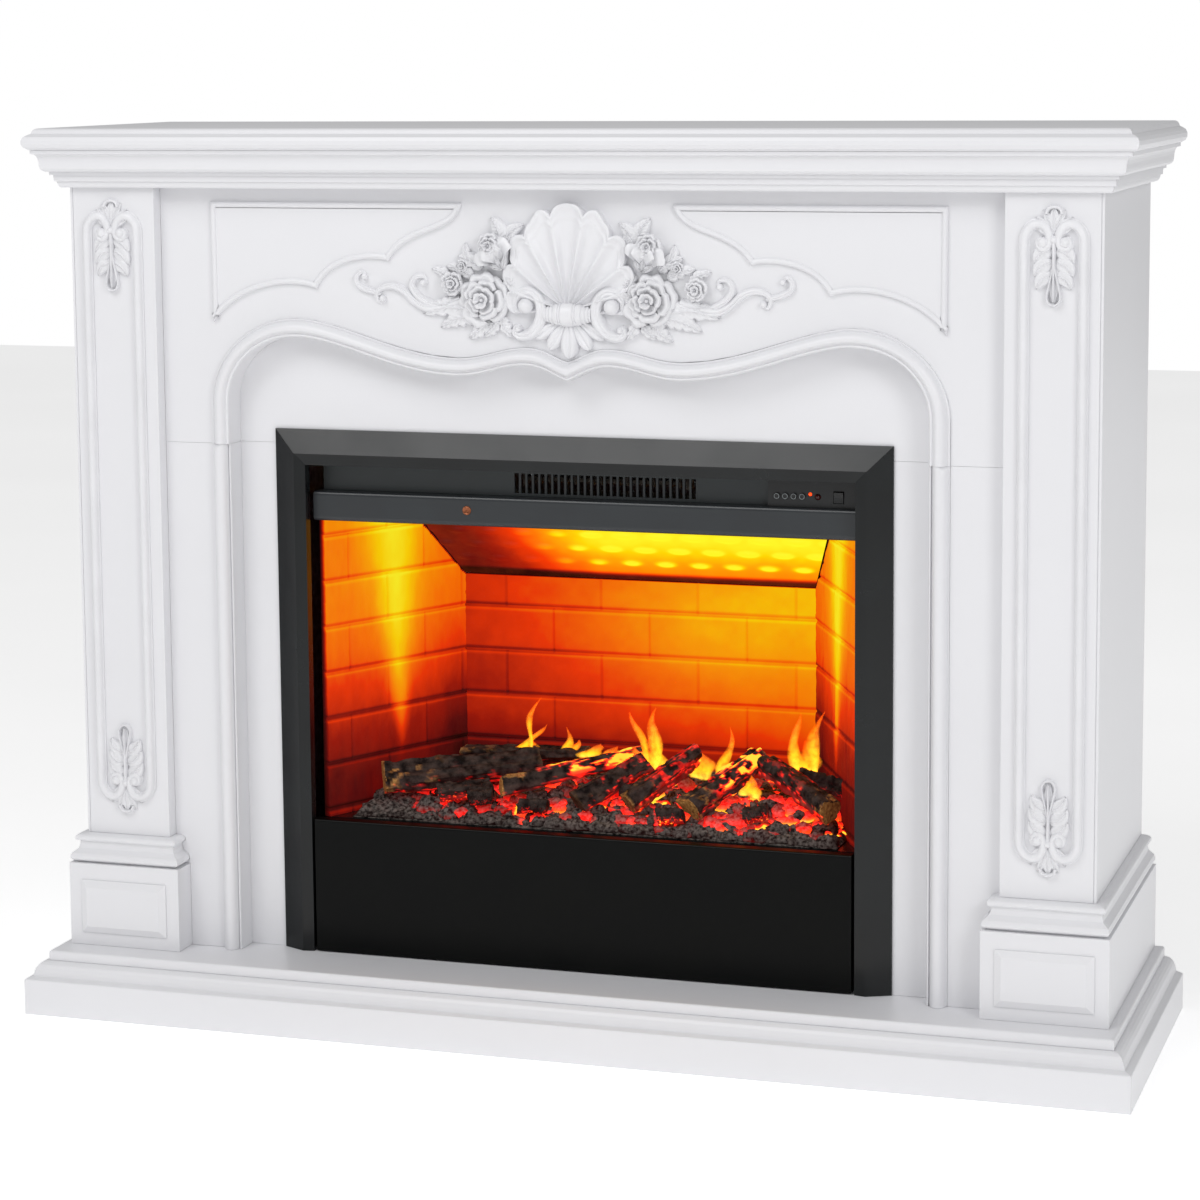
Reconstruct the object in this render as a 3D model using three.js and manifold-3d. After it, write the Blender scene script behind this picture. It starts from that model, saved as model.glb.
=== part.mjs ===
// A free-standing electric fireplace: a white classical surround with a carved crest, and a black
// vapour-flame insert with a fan heater and a drawer for the water tank.
// Millimetres. X to the viewer's right, Y towards the wall, Z up. The origin is on the floor,
// in the middle of the box that holds the object.

import * as THREE from "three";
import { mergeVertices } from "three/addons/utils/BufferGeometryUtils.js";
import Module from "manifold-3d";

const wasm = await Module();
wasm.setup();

// ---------------------------------------------------------------- driving dimensions

const WIDTH = 1480;
const DEPTH = 460;
const HEIGHT = 1180;
const HALF = WIDTH / 2;
const FRONT = -DEPTH / 2;
const BACK = DEPTH / 2;
const GAP = 0.3; // clearance between pieces that touch

const SLAB_UNDER = 70; // underside of the hearth slab
const HEARTH = 83; // top of the hearth slab

const BLOCK_OUT = 702; // outer face of a pedestal block
const BLOCK_IN = 542; // its inner face
const BLOCK_FRONT = FRONT + 66;
const BLOCK_TOP = 195;

const PILLAR_INSET = 20; // a pillar stands back from its block by this on three sides
const PILLAR_OUT = BLOCK_OUT - PILLAR_INSET;
const PILLAR_IN = BLOCK_IN + PILLAR_INSET;
const PILLAR_FRONT = BLOCK_FRONT + PILLAR_INSET;
const PILLAR_FOOT = 234.5;
const PILLAR_TOP = 1102;
const PILLAR_CENTRE = (PILLAR_OUT + PILLAR_IN) / 2;
const PILLAR_BOARD = 15;

const CORNICE_TOP = 1152; // the shelf board lies on this
const FRIEZE_FRONT = PILLAR_FRONT + 20;
const INNER_FRONT = FRIEZE_FRONT + 30; // face of the boards round the insert
const INNER_BOARD = 15;
const JOINT = 766; // level where the lower boards meet the upper ones
const ARCH_LEG_OUT = 493;
const ARCH_LEG_IN = 467;
const ARCH_FRONT = FRIEZE_FRONT - 13;

const TRIM_HALF = 416; // outer half width of the insert's trim
const TRIM_TOP = 785;
const TRIM_FACE = 46; // width of a trim bar
const TRIM_NOSE = INNER_FRONT - 18;
const APRON_HALF = 366;
const APRON_TOP = 264;

const CASING_HALF = 398;
const CASING_WALL = 3;
const CASING_FRONT = INNER_FRONT + 1;
const CASING_BACK = 195;
const CASING_BOTTOM = HEARTH + GAP;
const CASING_TOP = JOINT - 2;

const BOX_BACK = 170; // face of the brick back wall
const BOX_BACK_HALF = 250; // half width at the back wall
const BOX_FRONT = -60;
const BOX_FRONT_HALF = 364;
const BRICK = 12; // thickness of the brick panels
const FLOOR_UNDER = 250;
const FLOOR_TOP = 256;

const HEADER_BOTTOM = 663;
const HEADER_TOP = 702;
const HEADER_FRONT = -92;

const WHEEL_Y = 86; // axis of the heater's fan wheel
const WHEEL_Z = 722;
const WHEEL_R = 23;
const WHEEL_HALF = 118;

const MIST_FAN_X = 236; // axis of the small fan in the drawer
const MIST_FAN_Y = 60;
const MIST_BACK = 112; // back of the tank and the mist unit, short of the tray for the hose

// ---------------------------------------------------------------- finishes

const finish = (color, roughness, metalness = 0) =>
  new THREE.MeshStandardMaterial({ color, roughness, metalness });
const enamel = () => finish(0xf1f1f2, 0.35);
const blackSteel = () => finish(0x232527, 0.4, 0.6);
const blackPlastic = () => finish(0x17181a, 0.5);
const galvanised = () => finish(0xa9adb0, 0.45, 0.9);

// ---------------------------------------------------------------- shapes

const shapeOf = (points) => new THREE.Shape(points.map(([a, b]) => new THREE.Vector2(a, b)));

// Points along a drawn path, with round stretches in the given number of steps.
function drawn(draw, steps = 5) {
  const path = new THREE.Path();
  draw(path);
  return path.getPoints(steps).map((p) => [p.x, p.y]);
}

function extruded(points, holes, depth) {
  const shape = shapeOf(points);
  shape.holes = holes.map(shapeOf);
  return new THREE.ExtrudeGeometry(shape, { depth, bevelEnabled: false });
}

const X = new THREE.Vector3(1, 0, 0);
const Y = new THREE.Vector3(0, 1, 0);
const Z = new THREE.Vector3(0, 0, 1);
const alongX = new THREE.Matrix4().makeBasis(Y, Z, X);
const alongY = new THREE.Matrix4().makeBasis(X, Z, Y.clone().negate());

// A [y, z] outline carried along X.
function prismX(points, x0, x1, holes = []) {
  return extruded(points, holes, x1 - x0).applyMatrix4(alongX).translate(x0, 0, 0);
}

// An [x, z] outline carried along Y.
function prismY(points, y0, y1, holes = []) {
  return extruded(points, holes, y1 - y0).applyMatrix4(alongY).translate(0, y1, 0);
}

// An [x, y] outline carried along Z.
function prismZ(points, z0, z1, holes = []) {
  return extruded(points, holes, z1 - z0).translate(0, 0, z0);
}

function box(x0, x1, y0, y1, z0, z1) {
  return new THREE.BoxGeometry(x1 - x0, y1 - y0, z1 - z0).translate(
    (x0 + x1) / 2,
    (y0 + y1) / 2,
    (z0 + z1) / 2,
  );
}

const rodX = (r, x0, x1, y, z, sides = 20) =>
  new THREE.CylinderGeometry(r, r, x1 - x0, sides)
    .rotateZ(Math.PI / 2)
    .translate((x0 + x1) / 2, y, z);
const rodY = (r, y0, y1, x, z, sides = 20) =>
  new THREE.CylinderGeometry(r, r, y1 - y0, sides).translate(x, (y0 + y1) / 2, z);
const rodZ = (r, z0, z1, x, y, sides = 20) =>
  new THREE.CylinderGeometry(r, r, z1 - z0, sides)
    .rotateX(Math.PI / 2)
    .translate(x, y, (z0 + z1) / 2);

// ---------------------------------------------------------------- joins and cuts

function solid(geometry) {
  const bare = geometry.clone();
  bare.deleteAttribute("normal");
  bare.deleteAttribute("uv");
  const merged = mergeVertices(bare, 1e-4);
  const vertProperties = merged.attributes.position.array;
  const triVerts = new Uint32Array(merged.index.array);
  return new wasm.Manifold(new wasm.Mesh({ numProp: 3, vertProperties, triVerts }));
}

function geometryOf(manifold) {
  const mesh = manifold.getMesh();
  const indexed = new THREE.BufferGeometry();
  indexed.setAttribute("position", new THREE.BufferAttribute(mesh.vertProperties, 3));
  indexed.setIndex(new THREE.BufferAttribute(mesh.triVerts, 1));
  const flat = indexed.toNonIndexed();
  flat.computeVertexNormals();
  return flat;
}

const join = (...all) => geometryOf(all.map(solid).reduce((a, b) => a.add(b)));
const cut = (a, ...rest) => geometryOf(rest.map(solid).reduce((s, b) => s.subtract(b), solid(a)));
const common = (a, b) => geometryOf(solid(a).intersect(solid(b)));

// ---------------------------------------------------------------- the group

const fireplace = new THREE.Group();

function add(name, geometry, material) {
  const mesh = new THREE.Mesh(geometry, material);
  mesh.name = name;
  fireplace.add(mesh);
}

// The same piece on both sides: make(side) gets -1 for the left and 1 for the right.
function addPair(name, make, material) {
  for (const [label, side] of [["left", -1], ["right", 1]]) {
    add(`${name}_${label}`, make(side), material());
  }
}

// Orders two x positions on one side from low to high.
const span = (side, inner, outer) => (side > 0 ? [inner, outer] : [-outer, -inner]);

// ---------------------------------------------------------------- mouldings

// A mitred run along the front. The profile is [depth behind the outermost line, z].
function frontRun(profile, half, front, reach) {
  const run = prismX(profile.map(([d, z]) => [front + d, z]), -half, half);
  const end = half - GAP / 2;
  const wedge = [
    [-end, front],
    [end, front],
    [end - reach, front + reach],
    [-end + reach, front + reach],
  ];
  return common(run, prismZ(wedge, -1, HEIGHT + 1));
}

// The run that meets it on one side and goes back to the wall.
function sideRun(profile, half, front, reach, side) {
  const run = prismY(profile.map(([d, z]) => [side * (half - d), z]), front, BACK);
  const start = front + GAP / 2;
  const wedge = [
    [side * half, start],
    [side * (half - reach), start + reach],
    [side * (half - reach), BACK],
    [side * half, BACK],
  ];
  return common(run, prismZ(wedge, -1, HEIGHT + 1));
}

// A block whose edge has the profile [overhang, z] on its front and both sides.
function wrapped(profile, x0, x1, front) {
  const low = profile[0][1];
  const high = profile[profile.length - 1][1];
  const sideView = [...profile.map(([e, z]) => [front - e, z]), [BACK, high], [BACK, low]];
  const leftEdge = profile.map(([e, z]) => [x0 - e, z]);
  const rightEdge = profile.map(([e, z]) => [x1 + e, z]).reverse();
  const frontView = [...leftEdge, ...rightEdge];
  return common(prismX(sideView, x0 - 100, x1 + 100), prismY(frontView, front - 100, BACK));
}

// ---------------------------------------------------------------- plinth and hearth

const plinthProfile = drawn((p) => {
  p.moveTo(0, 0);
  p.lineTo(0, 46);
  p.quadraticCurveTo(0, 48, 2, 48.5);
  p.lineTo(9, 51);
  p.quadraticCurveTo(11, 68, 22, SLAB_UNDER - GAP);
  p.lineTo(46, SLAB_UNDER - GAP);
  p.lineTo(46, 0);
});
const PLINTH_REACH = 47;
add("plinth_front", frontRun(plinthProfile, HALF, FRONT, PLINTH_REACH), enamel());
addPair("plinth", (side) => sideRun(plinthProfile, HALF, FRONT, PLINTH_REACH, side), enamel);

const slabEdge = drawn((p) => {
  p.moveTo(0, SLAB_UNDER);
  p.lineTo(0, HEARTH - 4);
  p.quadraticCurveTo(0, HEARTH, -4, HEARTH);
});
add("hearth_slab", wrapped(slabEdge, 25 - HALF, HALF - 25, FRONT + 25), enamel());

// ---------------------------------------------------------------- pedestals, caps and pillars

// Three boards round a hollow that is open at the back.
function channel(side, inner, outer, front, board, z0, z1) {
  const outline = [
    [inner, front],
    [outer, front],
    [outer, BACK],
    [outer - board, BACK],
    [outer - board, front + board],
    [inner + board, front + board],
    [inner + board, BACK],
    [inner, BACK],
  ];
  return prismZ(outline.map(([x, y]) => [side * x, y]), z0, z1);
}

// A raised field with bevelled edges on the front of a block.
function raisedField(side) {
  const middle = side * (BLOCK_OUT + BLOCK_IN) / 2;
  const half = 62;
  const [low, high] = [101, 173];
  const bevel = 9;
  const proud = 7;
  const field = new THREE.ExtrudeGeometry(
    shapeOf([
      [bevel - half, low + bevel],
      [half - bevel, low + bevel],
      [half - bevel, high - bevel],
      [bevel - half, high - bevel],
    ]),
    { depth: 2, bevelThickness: proud - 3, bevelSize: bevel, bevelSegments: 1 },
  );
  return field.applyMatrix4(alongY).translate(middle, BLOCK_FRONT, 0);
}

addPair(
  "pedestal",
  (side) =>
    join(
      channel(side, BLOCK_IN, BLOCK_OUT, BLOCK_FRONT, 18, HEARTH + GAP, BLOCK_TOP),
      raisedField(side),
    ),
  enamel,
);

const capProfile = drawn((p) => {
  p.moveTo(12, BLOCK_TOP + GAP);
  p.lineTo(12, 197);
  p.quadraticCurveTo(19, 197.5, 19, 203);
  p.bezierCurveTo(19, 212, 8.5, 209, 8.5, 220);
  p.lineTo(8.5, 224);
  p.quadraticCurveTo(13.5, 224, 13.5, 229);
  p.quadraticCurveTo(13.5, 234, 1, PILLAR_FOOT - GAP);
}, 4);

addPair(
  "pedestal_cap",
  (side) => {
    const [x0, x1] = span(side, PILLAR_IN, PILLAR_OUT);
    const block = wrapped(capProfile, x0, x1, PILLAR_FRONT);
    const inset = PILLAR_BOARD;
    return cut(block, box(x0 + inset, x1 - inset, PILLAR_FRONT + inset, BACK + 5, 190, 240));
  },
  enamel,
);

// A fine groove on the front shows where a pillar's outer board meets its front board.
function pillarGroove(side) {
  const [x0, x1] = span(side, PILLAR_OUT - 4, PILLAR_OUT - 3);
  return box(x0, x1, PILLAR_FRONT - 1, PILLAR_FRONT + 1, PILLAR_FOOT - 1, PILLAR_TOP + 1);
}

addPair(
  "pillar",
  (side) => {
    const [inner, outer, front] = [PILLAR_IN, PILLAR_OUT, PILLAR_FRONT];
    const boards = channel(side, inner, outer, front, PILLAR_BOARD, PILLAR_FOOT, PILLAR_TOP);
    return cut(boards, pillarGroove(side));
  },
  enamel,
);

// The cast bead loop with a shell at each end and a leaf that points into the loop.
function pillarOrnament(side) {
  const [low, high] = [290, 1066];
  const [half, bead, round] = [43, 13.5, 30];
  const outline = drawn((p) => {
    p.moveTo(half, low + round);
    p.lineTo(half, high - round);
    p.quadraticCurveTo(half, high, 16, high);
    p.quadraticCurveTo(12, high + 19, 0, high + 19);
    p.quadraticCurveTo(-12, high + 19, -16, high);
    p.quadraticCurveTo(-half, high, -half, high - round);
    p.lineTo(-half, low + round);
    p.quadraticCurveTo(-half, low, -17, low - 6);
    p.quadraticCurveTo(-12, low - 23, 0, low - 23);
    p.quadraticCurveTo(12, low - 23, 17, low - 6);
    p.quadraticCurveTo(half, low, half, low + round);
  });
  const inside = half - bead;
  const hole = drawn((p) => {
    p.moveTo(inside, low + 45);
    p.lineTo(inside, high - 45);
    p.quadraticCurveTo(14, high - 45, 0, high - 98);
    p.quadraticCurveTo(-14, high - 45, -inside, high - 45);
    p.lineTo(-inside, low + 45);
    p.quadraticCurveTo(-14, low + 45, 0, low + 102);
    p.quadraticCurveTo(14, low + 45, inside, low + 45);
  });
  const face = PILLAR_FRONT - GAP;
  return prismY(outline, face - 8, face, [hole]).translate(side * PILLAR_CENTRE, 0, 0);
}
addPair("pillar_ornament", pillarOrnament, enamel);

// ---------------------------------------------------------------- frieze and arch

// Half of an arch edge, from the leg to the middle: a round shoulder, a long hollow sweep,
// a small rise and a point. Each row is one cubic curve's two handles and end.
const ARCH_OUTER = [
  [[ARCH_LEG_OUT, 880], [440, 933], [372, 933]],
  [[310, 933], [230, 886], [148, 886]],
  [[110, 886], [90, 901], [54, 901]],
  [[30, 901], [20, 890], [0, 884]],
];
const ARCH_INNER = [
  [[ARCH_LEG_IN, 868], [428, 909], [370, 909]],
  [[310, 909], [235, 863], [148, 863]],
  [[112, 863], [90, 878], [56, 878]],
  [[32, 878], [18, 866], [0, 859]],
];
const ARCH_SPRING = 822; // where the straight legs end

function archEdge(leg, curves, foot) {
  const half = drawn((p) => {
    p.moveTo(leg, foot);
    p.lineTo(leg, ARCH_SPRING);
    for (const [a, b, end] of curves) p.bezierCurveTo(...a, ...b, ...end);
  }, 7);
  const mirrored = half.slice(0, -1).reverse().map(([x, z]) => [-x, z]);
  return [...half, ...mirrored];
}

const boardTop = PILLAR_TOP;
const boardHalf = PILLAR_IN - GAP;
const boardBack = INNER_FRONT - GAP;
const archBand = prismY(
  [
    ...archEdge(ARCH_LEG_OUT, ARCH_OUTER, JOINT + GAP),
    ...archEdge(ARCH_LEG_IN, ARCH_INNER, JOINT + GAP).reverse(),
  ],
  ARCH_FRONT,
  boardBack,
);
add("arch_moulding", archBand, enamel());

const overArch = ([x, z]) => [x, z > JOINT + 1 ? z + GAP : z];
const friezeOutline = [
  ...archEdge(ARCH_LEG_OUT + GAP, ARCH_OUTER, JOINT + GAP).map(overArch),
  [-boardHalf, JOINT + GAP],
  [-boardHalf, boardTop],
  [boardHalf, boardTop],
  [boardHalf, JOINT + GAP],
];
add("frieze_board", prismY(friezeOutline, FRIEZE_FRONT, boardBack), enamel());

// The stile is scribed to the pedestal and to the moulding of its cap.
addPair(
  "stile",
  (side) => {
    const inner = ARCH_LEG_OUT + GAP;
    const scribed = capProfile.map(([overhang, z]) => [PILLAR_IN - overhang - 2 * GAP, z]);
    const outline = [
      [inner, HEARTH + GAP],
      [BLOCK_IN - GAP, HEARTH + GAP],
      [BLOCK_IN - GAP, BLOCK_TOP + GAP],
      ...scribed,
      [boardHalf, PILLAR_FOOT + GAP],
      [boardHalf, JOINT],
      [inner, JOINT],
    ];
    return prismY(outline.map(([x, z]) => [side * x, z]), FRIEZE_FRONT, boardBack);
  },
  enamel,
);

// Half-round column that carries on the arch moulding's leg down to the hearth.
addPair(
  "column",
  (side) => {
    const middle = side * (ARCH_LEG_OUT + ARCH_LEG_IN) / 2;
    const radius = (ARCH_LEG_OUT - ARCH_LEG_IN) / 2;
    const section = drawn((p) => {
      p.moveTo(-radius, boardBack);
      p.lineTo(-radius, FRIEZE_FRONT);
      p.absarc(0, FRIEZE_FRONT, radius, Math.PI, 2 * Math.PI, false);
      p.lineTo(radius, boardBack);
    });
    return prismZ(section, HEARTH + GAP, JOINT).translate(middle, 0, 0);
  },
  enamel,
);

// Raised panel beside the crest: two straight sides and three scallops.
addPair(
  "frieze_panel",
  (side) => {
    const outline = drawn((p) => {
      p.moveTo(140, 1084);
      p.bezierCurveTo(150, 1040, 215, 1055, 241, 1009);
      p.bezierCurveTo(262, 1016, 325, 1012, 341, 972);
      p.bezierCurveTo(375, 985, 450, 978, 488, 926);
      p.lineTo(489, 1084);
    }, 6);
    const face = FRIEZE_FRONT - GAP;
    return prismY(outline.map(([x, z]) => [side * x, z]), face - 6, face);
  },
  enamel,
);

// The crest's solid: shell between two pairs of roses, a pendant leaf, and a scroll to each side.
function crest() {
  const half = [
    [0, 1085],
    [40, 1068],
    [98, 1066],
    [128, 1035],
    [150, 1000],
    [205, 994],
    [232, 968],
    [262, 984],
    [294, 984],
    [296, 966],
    [256, 950],
    [212, 958],
    [182, 930],
    [135, 914],
    [62, 925],
    [24, 912],
    [0, 890],
  ];
  const mirrored = half.slice(1, -1).reverse().map(([x, z]) => [-x, z]);
  const face = FRIEZE_FRONT - GAP;
  return prismY([...half, ...mirrored], face - 26, face);
}
add("carved_crest", crest(), enamel());

// ---------------------------------------------------------------- boards round the insert

const INNER_BACK = INNER_FRONT + INNER_BOARD;
add("inner_panel_top", box(-540, 540, INNER_FRONT, INNER_BACK, JOINT + GAP, 965), enamel());
addPair(
  "inner_panel",
  (side) => {
    const [x0, x1] = span(side, CASING_HALF + 2, 540);
    return box(x0, x1, INNER_FRONT, INNER_BACK, HEARTH + GAP, JOINT);
  },
  enamel,
);

// ---------------------------------------------------------------- cornice and shelf

const CORNICE_REACH = 80; // from the cornice's outermost line to its back
const CORNICE_OUT = 38; // how far that line stands proud of the pillar
const corniceProfile = drawn((p) => {
  const top = CORNICE_TOP - GAP;
  const out = CORNICE_OUT;
  p.moveTo(out - 9, PILLAR_TOP + GAP);
  p.quadraticCurveTo(out - 12, 1104, out - 12.5, 1110);
  p.lineTo(out - 15.5, 1111);
  p.lineTo(out - 16, 1119);
  p.lineTo(out - 20, 1119);
  p.lineTo(out - 20, 1123);
  p.quadraticCurveTo(out - 29, 1123, out - 29.5, 1131);
  p.quadraticCurveTo(out - 30, 1144, out - 34, 1146);
  p.lineTo(0, 1147);
  p.lineTo(0, top);
  p.lineTo(CORNICE_REACH - 2, top);
  p.lineTo(CORNICE_REACH - 2, PILLAR_TOP + GAP);
}, 4);
const corniceHalf = PILLAR_OUT + CORNICE_OUT;
const corniceFront = PILLAR_FRONT - CORNICE_OUT;
add("cornice_front", frontRun(corniceProfile, corniceHalf, corniceFront, CORNICE_REACH), enamel());
addPair(
  "cornice",
  (side) => sideRun(corniceProfile, corniceHalf, corniceFront, CORNICE_REACH, side),
  enamel,
);

const shelfEdge = drawn((p) => {
  p.moveTo(39, CORNICE_TOP);
  p.bezierCurveTo(49, 1155, 49, 1169, 40, 1171.5);
  p.lineTo(36.5, 1173);
  p.quadraticCurveTo(35, HEIGHT, 29, HEIGHT);
}, 5);
const outX = PILLAR_OUT;
add("shelf_top", wrapped(shelfEdge, -outX, outX, PILLAR_FRONT), enamel());

// ---------------------------------------------------------------- insert: trim and casing

// Section of a trim bar: [distance in from the outer edge, y].
const TRIM_SECTION = [
  [0, boardBack],
  [0, boardBack - 3],
  [31, TRIM_NOSE],
  [TRIM_FACE, TRIM_NOSE + 3],
  [TRIM_FACE, boardBack],
];

function trimTop() {
  const bar = prismX(TRIM_SECTION.map(([w, y]) => [y, TRIM_TOP - w]), -TRIM_HALF, TRIM_HALF);
  const outer = TRIM_HALF - GAP;
  const wedge = [
    [-outer, TRIM_TOP],
    [outer, TRIM_TOP],
    [outer - 60, TRIM_TOP - 60],
    [60 - outer, TRIM_TOP - 60],
  ];
  return common(bar, prismY(wedge, -200, 0));
}
add("trim_top", trimTop(), blackSteel());
addPair(
  "trim",
  (side) => {
    const section = TRIM_SECTION.map(([w, y]) => [side * (TRIM_HALF - w), y]);
    const bar = prismZ(section, HEARTH + GAP, TRIM_TOP);
    const wedge = [
      [side * TRIM_HALF, 0],
      [side * TRIM_HALF, TRIM_TOP],
      [side * (TRIM_HALF - 60), TRIM_TOP - 60],
      [side * (TRIM_HALF - 60), 0],
    ];
    return common(bar, prismY(wedge, -200, 0));
  },
  blackSteel,
);

const wall = CASING_WALL;
add(
  "firebox_casing",
  cut(
    box(-CASING_HALF, CASING_HALF, CASING_FRONT, CASING_BACK, CASING_BOTTOM, CASING_TOP),
    box(
      wall - CASING_HALF,
      CASING_HALF - wall,
      CASING_FRONT - 5,
      CASING_BACK - wall,
      CASING_BOTTOM + wall,
      CASING_TOP - wall,
    ),
  ),
  galvanised(),
);

add(
  "cable_gland",
  new THREE.LatheGeometry(
    [
      [0, 0],
      [13, 0],
      [13, 5],
      [9, 6],
      [7, 24],
      [0, 24],
    ].map(([r, h]) => new THREE.Vector2(r, h)),
    20,
  ).translate(330, CASING_BACK + GAP, 120),
  blackPlastic(),
);

// ---------------------------------------------------------------- insert: firebox

// A brick-effect side panel, set at an angle so that the box narrows to the back.
addPair(
  "brick",
  (side) => {
    const outline = [
      [BOX_FRONT_HALF, BOX_FRONT],
      [BOX_BACK_HALF, BOX_BACK - GAP],
      [BOX_BACK_HALF + BRICK * 1.1, BOX_BACK - GAP],
      [BOX_FRONT_HALF + BRICK * 1.1, BOX_FRONT],
    ];
    return prismZ(outline.map(([x, y]) => [side * x, y]), FLOOR_TOP + GAP, 690);
  },
  () => finish(0xa4552c, 0.9),
);
add(
  "brick_back",
  box(-BOX_BACK_HALF - BRICK, BOX_BACK_HALF + BRICK, BOX_BACK, BOX_BACK + BRICK, FLOOR_TOP + GAP, 556),
  finish(0xa4552c, 0.9),
);

function ceilingReflector() {
  const slope = [
    [BOX_BACK - 1, 557],
    [52, 690],
    [55.5, 693.5],
    [BOX_BACK - 1, 562.5],
  ];
  const margin = 2;
  const flare = (BOX_FRONT_HALF - BOX_BACK_HALF) / (BOX_BACK - BOX_FRONT);
  const halfAt = (y) => BOX_BACK_HALF - margin + flare * (BOX_BACK - y);
  const plan = [
    [-halfAt(40), 40],
    [halfAt(40), 40],
    [halfAt(BOX_BACK), BOX_BACK],
    [-halfAt(BOX_BACK), BOX_BACK],
  ];
  return common(prismX(slope, -400, 400), prismZ(plan, 500, 750));
}
add("ceiling_reflector", ceilingReflector(), galvanised());

// The firebox floor, with a window that the mist rises through.
const floorPlan = [
  [-362, BOX_FRONT + 2],
  [362, BOX_FRONT + 2],
  [362, BOX_BACK + BRICK],
  [-362, BOX_BACK + BRICK],
];
const floorWindow = [
  [-210, 10],
  [210, 10],
  [210, 110],
  [-210, 110],
];
add("firebox_floor", prismZ(floorPlan, FLOOR_UNDER, FLOOR_TOP, [floorWindow]), blackSteel());

// The header: a rounded hood bar with a plate behind it that floors the warm-air slot.
const headerSection = drawn((p) => {
  p.moveTo(HEADER_FRONT + 6, HEADER_BOTTOM);
  p.quadraticCurveTo(HEADER_FRONT, HEADER_BOTTOM, HEADER_FRONT, HEADER_BOTTOM + 6);
  p.lineTo(HEADER_FRONT, HEADER_TOP - 5);
  p.quadraticCurveTo(HEADER_FRONT, HEADER_TOP, HEADER_FRONT + 5, HEADER_TOP);
  p.lineTo(14, HEADER_TOP);
  p.lineTo(14, HEADER_TOP - 4);
  p.lineTo(-62, HEADER_TOP - 4);
  p.lineTo(-62, HEADER_BOTTOM);
}, 4);
add("header_bar", prismX(headerSection, -APRON_HALF, APRON_HALF), blackSteel());

// ---------------------------------------------------------------- insert: controls

const FASCIA_FRONT = -80;
const FASCIA_BACK = -76;
const CONTROL_Z = 716;
const BUTTON_X = [262, 273, 284, 295];
const BUTTON_R = 3.8;
const BUTTON_REACH = 6; // how far a button's stem goes into the fascia and past it
const ROCKER_X = 342;

const throughFascia = (r, x, z) => rodY(r, FASCIA_FRONT - 5, FASCIA_BACK + 5, x, z, 16);
const buttonHoles = BUTTON_X.map((x) => throughFascia(BUTTON_R - 0.8, x, CONTROL_Z));
add(
  "control_fascia",
  cut(
    box(250, APRON_HALF - 1, FASCIA_FRONT, FASCIA_BACK, HEADER_TOP + GAP, 737),
    ...buttonHoles,
    throughFascia(2.4, 305, CONTROL_Z + 3),
    throughFascia(4.2, 315, CONTROL_Z),
    box(ROCKER_X - 7, ROCKER_X + 7, FASCIA_FRONT - 5, FASCIA_BACK + 5, CONTROL_Z - 8, CONTROL_Z + 8),
  ),
  blackPlastic(),
);

// Each button has a cap in front of the fascia and a stem through it. It stands 1.3 mm off.
["flame_button", "heat_button", "timer_button", "light_button"].forEach((name, i) => {
  const x = BUTTON_X[i];
  const back = FASCIA_FRONT - 1.3;
  const cap = rodY(BUTTON_R, back - 1.6, back, x, CONTROL_Z, 20);
  const stem = rodY(BUTTON_R - 1.2, back - 1, back + BUTTON_REACH, x, CONTROL_Z, 16);
  add(name, join(cap, stem), finish(0xb9bcc0, 0.3, 0.8));
});

// The rocker turns on a level pin through its middle.
const rockerSection = drawn((p) => {
  const [y, z] = [FASCIA_FRONT, CONTROL_Z];
  p.moveTo(y + 3, z - 6.5);
  p.lineTo(y - 1.6, z - 7);
  p.quadraticCurveTo(y - 0.2, z, y - 3, z + 6.5);
  p.lineTo(y + 3, z + 6.5);
}, 4);
add("power_rocker", prismX(rockerSection, ROCKER_X - 6, ROCKER_X + 6), blackPlastic());

const dome = (radius, x, z) =>
  common(
    new THREE.SphereGeometry(radius, 16, 10).translate(x, FASCIA_FRONT + 1, z),
    box(x - 9, x + 9, FASCIA_FRONT - 9, FASCIA_FRONT + 1.5, z - 9, z + 9),
  );
add("status_lens", dome(2.1, 305, CONTROL_Z + 3), finish(0xffa040, 0.2));
add("receiver_window", dome(3.9, 315, CONTROL_Z), finish(0x3a0c10, 0.1));

add("control_board", box(252, 362, -64, -62, HEADER_TOP + 2, 748), finish(0x1d5a35, 0.6));

// ---------------------------------------------------------------- insert: fan heater

const GRILLE_MIDDLE = 30; // the slotted stretch lies a little to the right of the middle
const GRILLE_HALF = 130;
const BAFFLE_HALF = 360; // the plate it is cut in, which closes the slot over the whole width
const BAFFLE_FRONT = -70; // it stands close behind the hood and the fascia
const BAFFLE_THICK = 4;
const GRILLE_SLOTS = 28;
function outletGrille() {
  const pitch = (2 * GRILLE_HALF - 12) / GRILLE_SLOTS;
  const slots = Array.from({ length: GRILLE_SLOTS }, (_, i) => {
    const x = GRILLE_MIDDLE + 6 - GRILLE_HALF + pitch * (i + 0.5);
    return box(x - 3, x + 3, BAFFLE_FRONT - 5, BAFFLE_FRONT + 10, HEADER_TOP + 4, 732);
  });
  const back = BAFFLE_FRONT + BAFFLE_THICK;
  const plate = box(-BAFFLE_HALF, BAFFLE_HALF, BAFFLE_FRONT, back, HEADER_TOP + GAP, 738);
  return cut(plate, join(...slots));
}
add("outlet_grille", outletGrille(), blackSteel());

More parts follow.
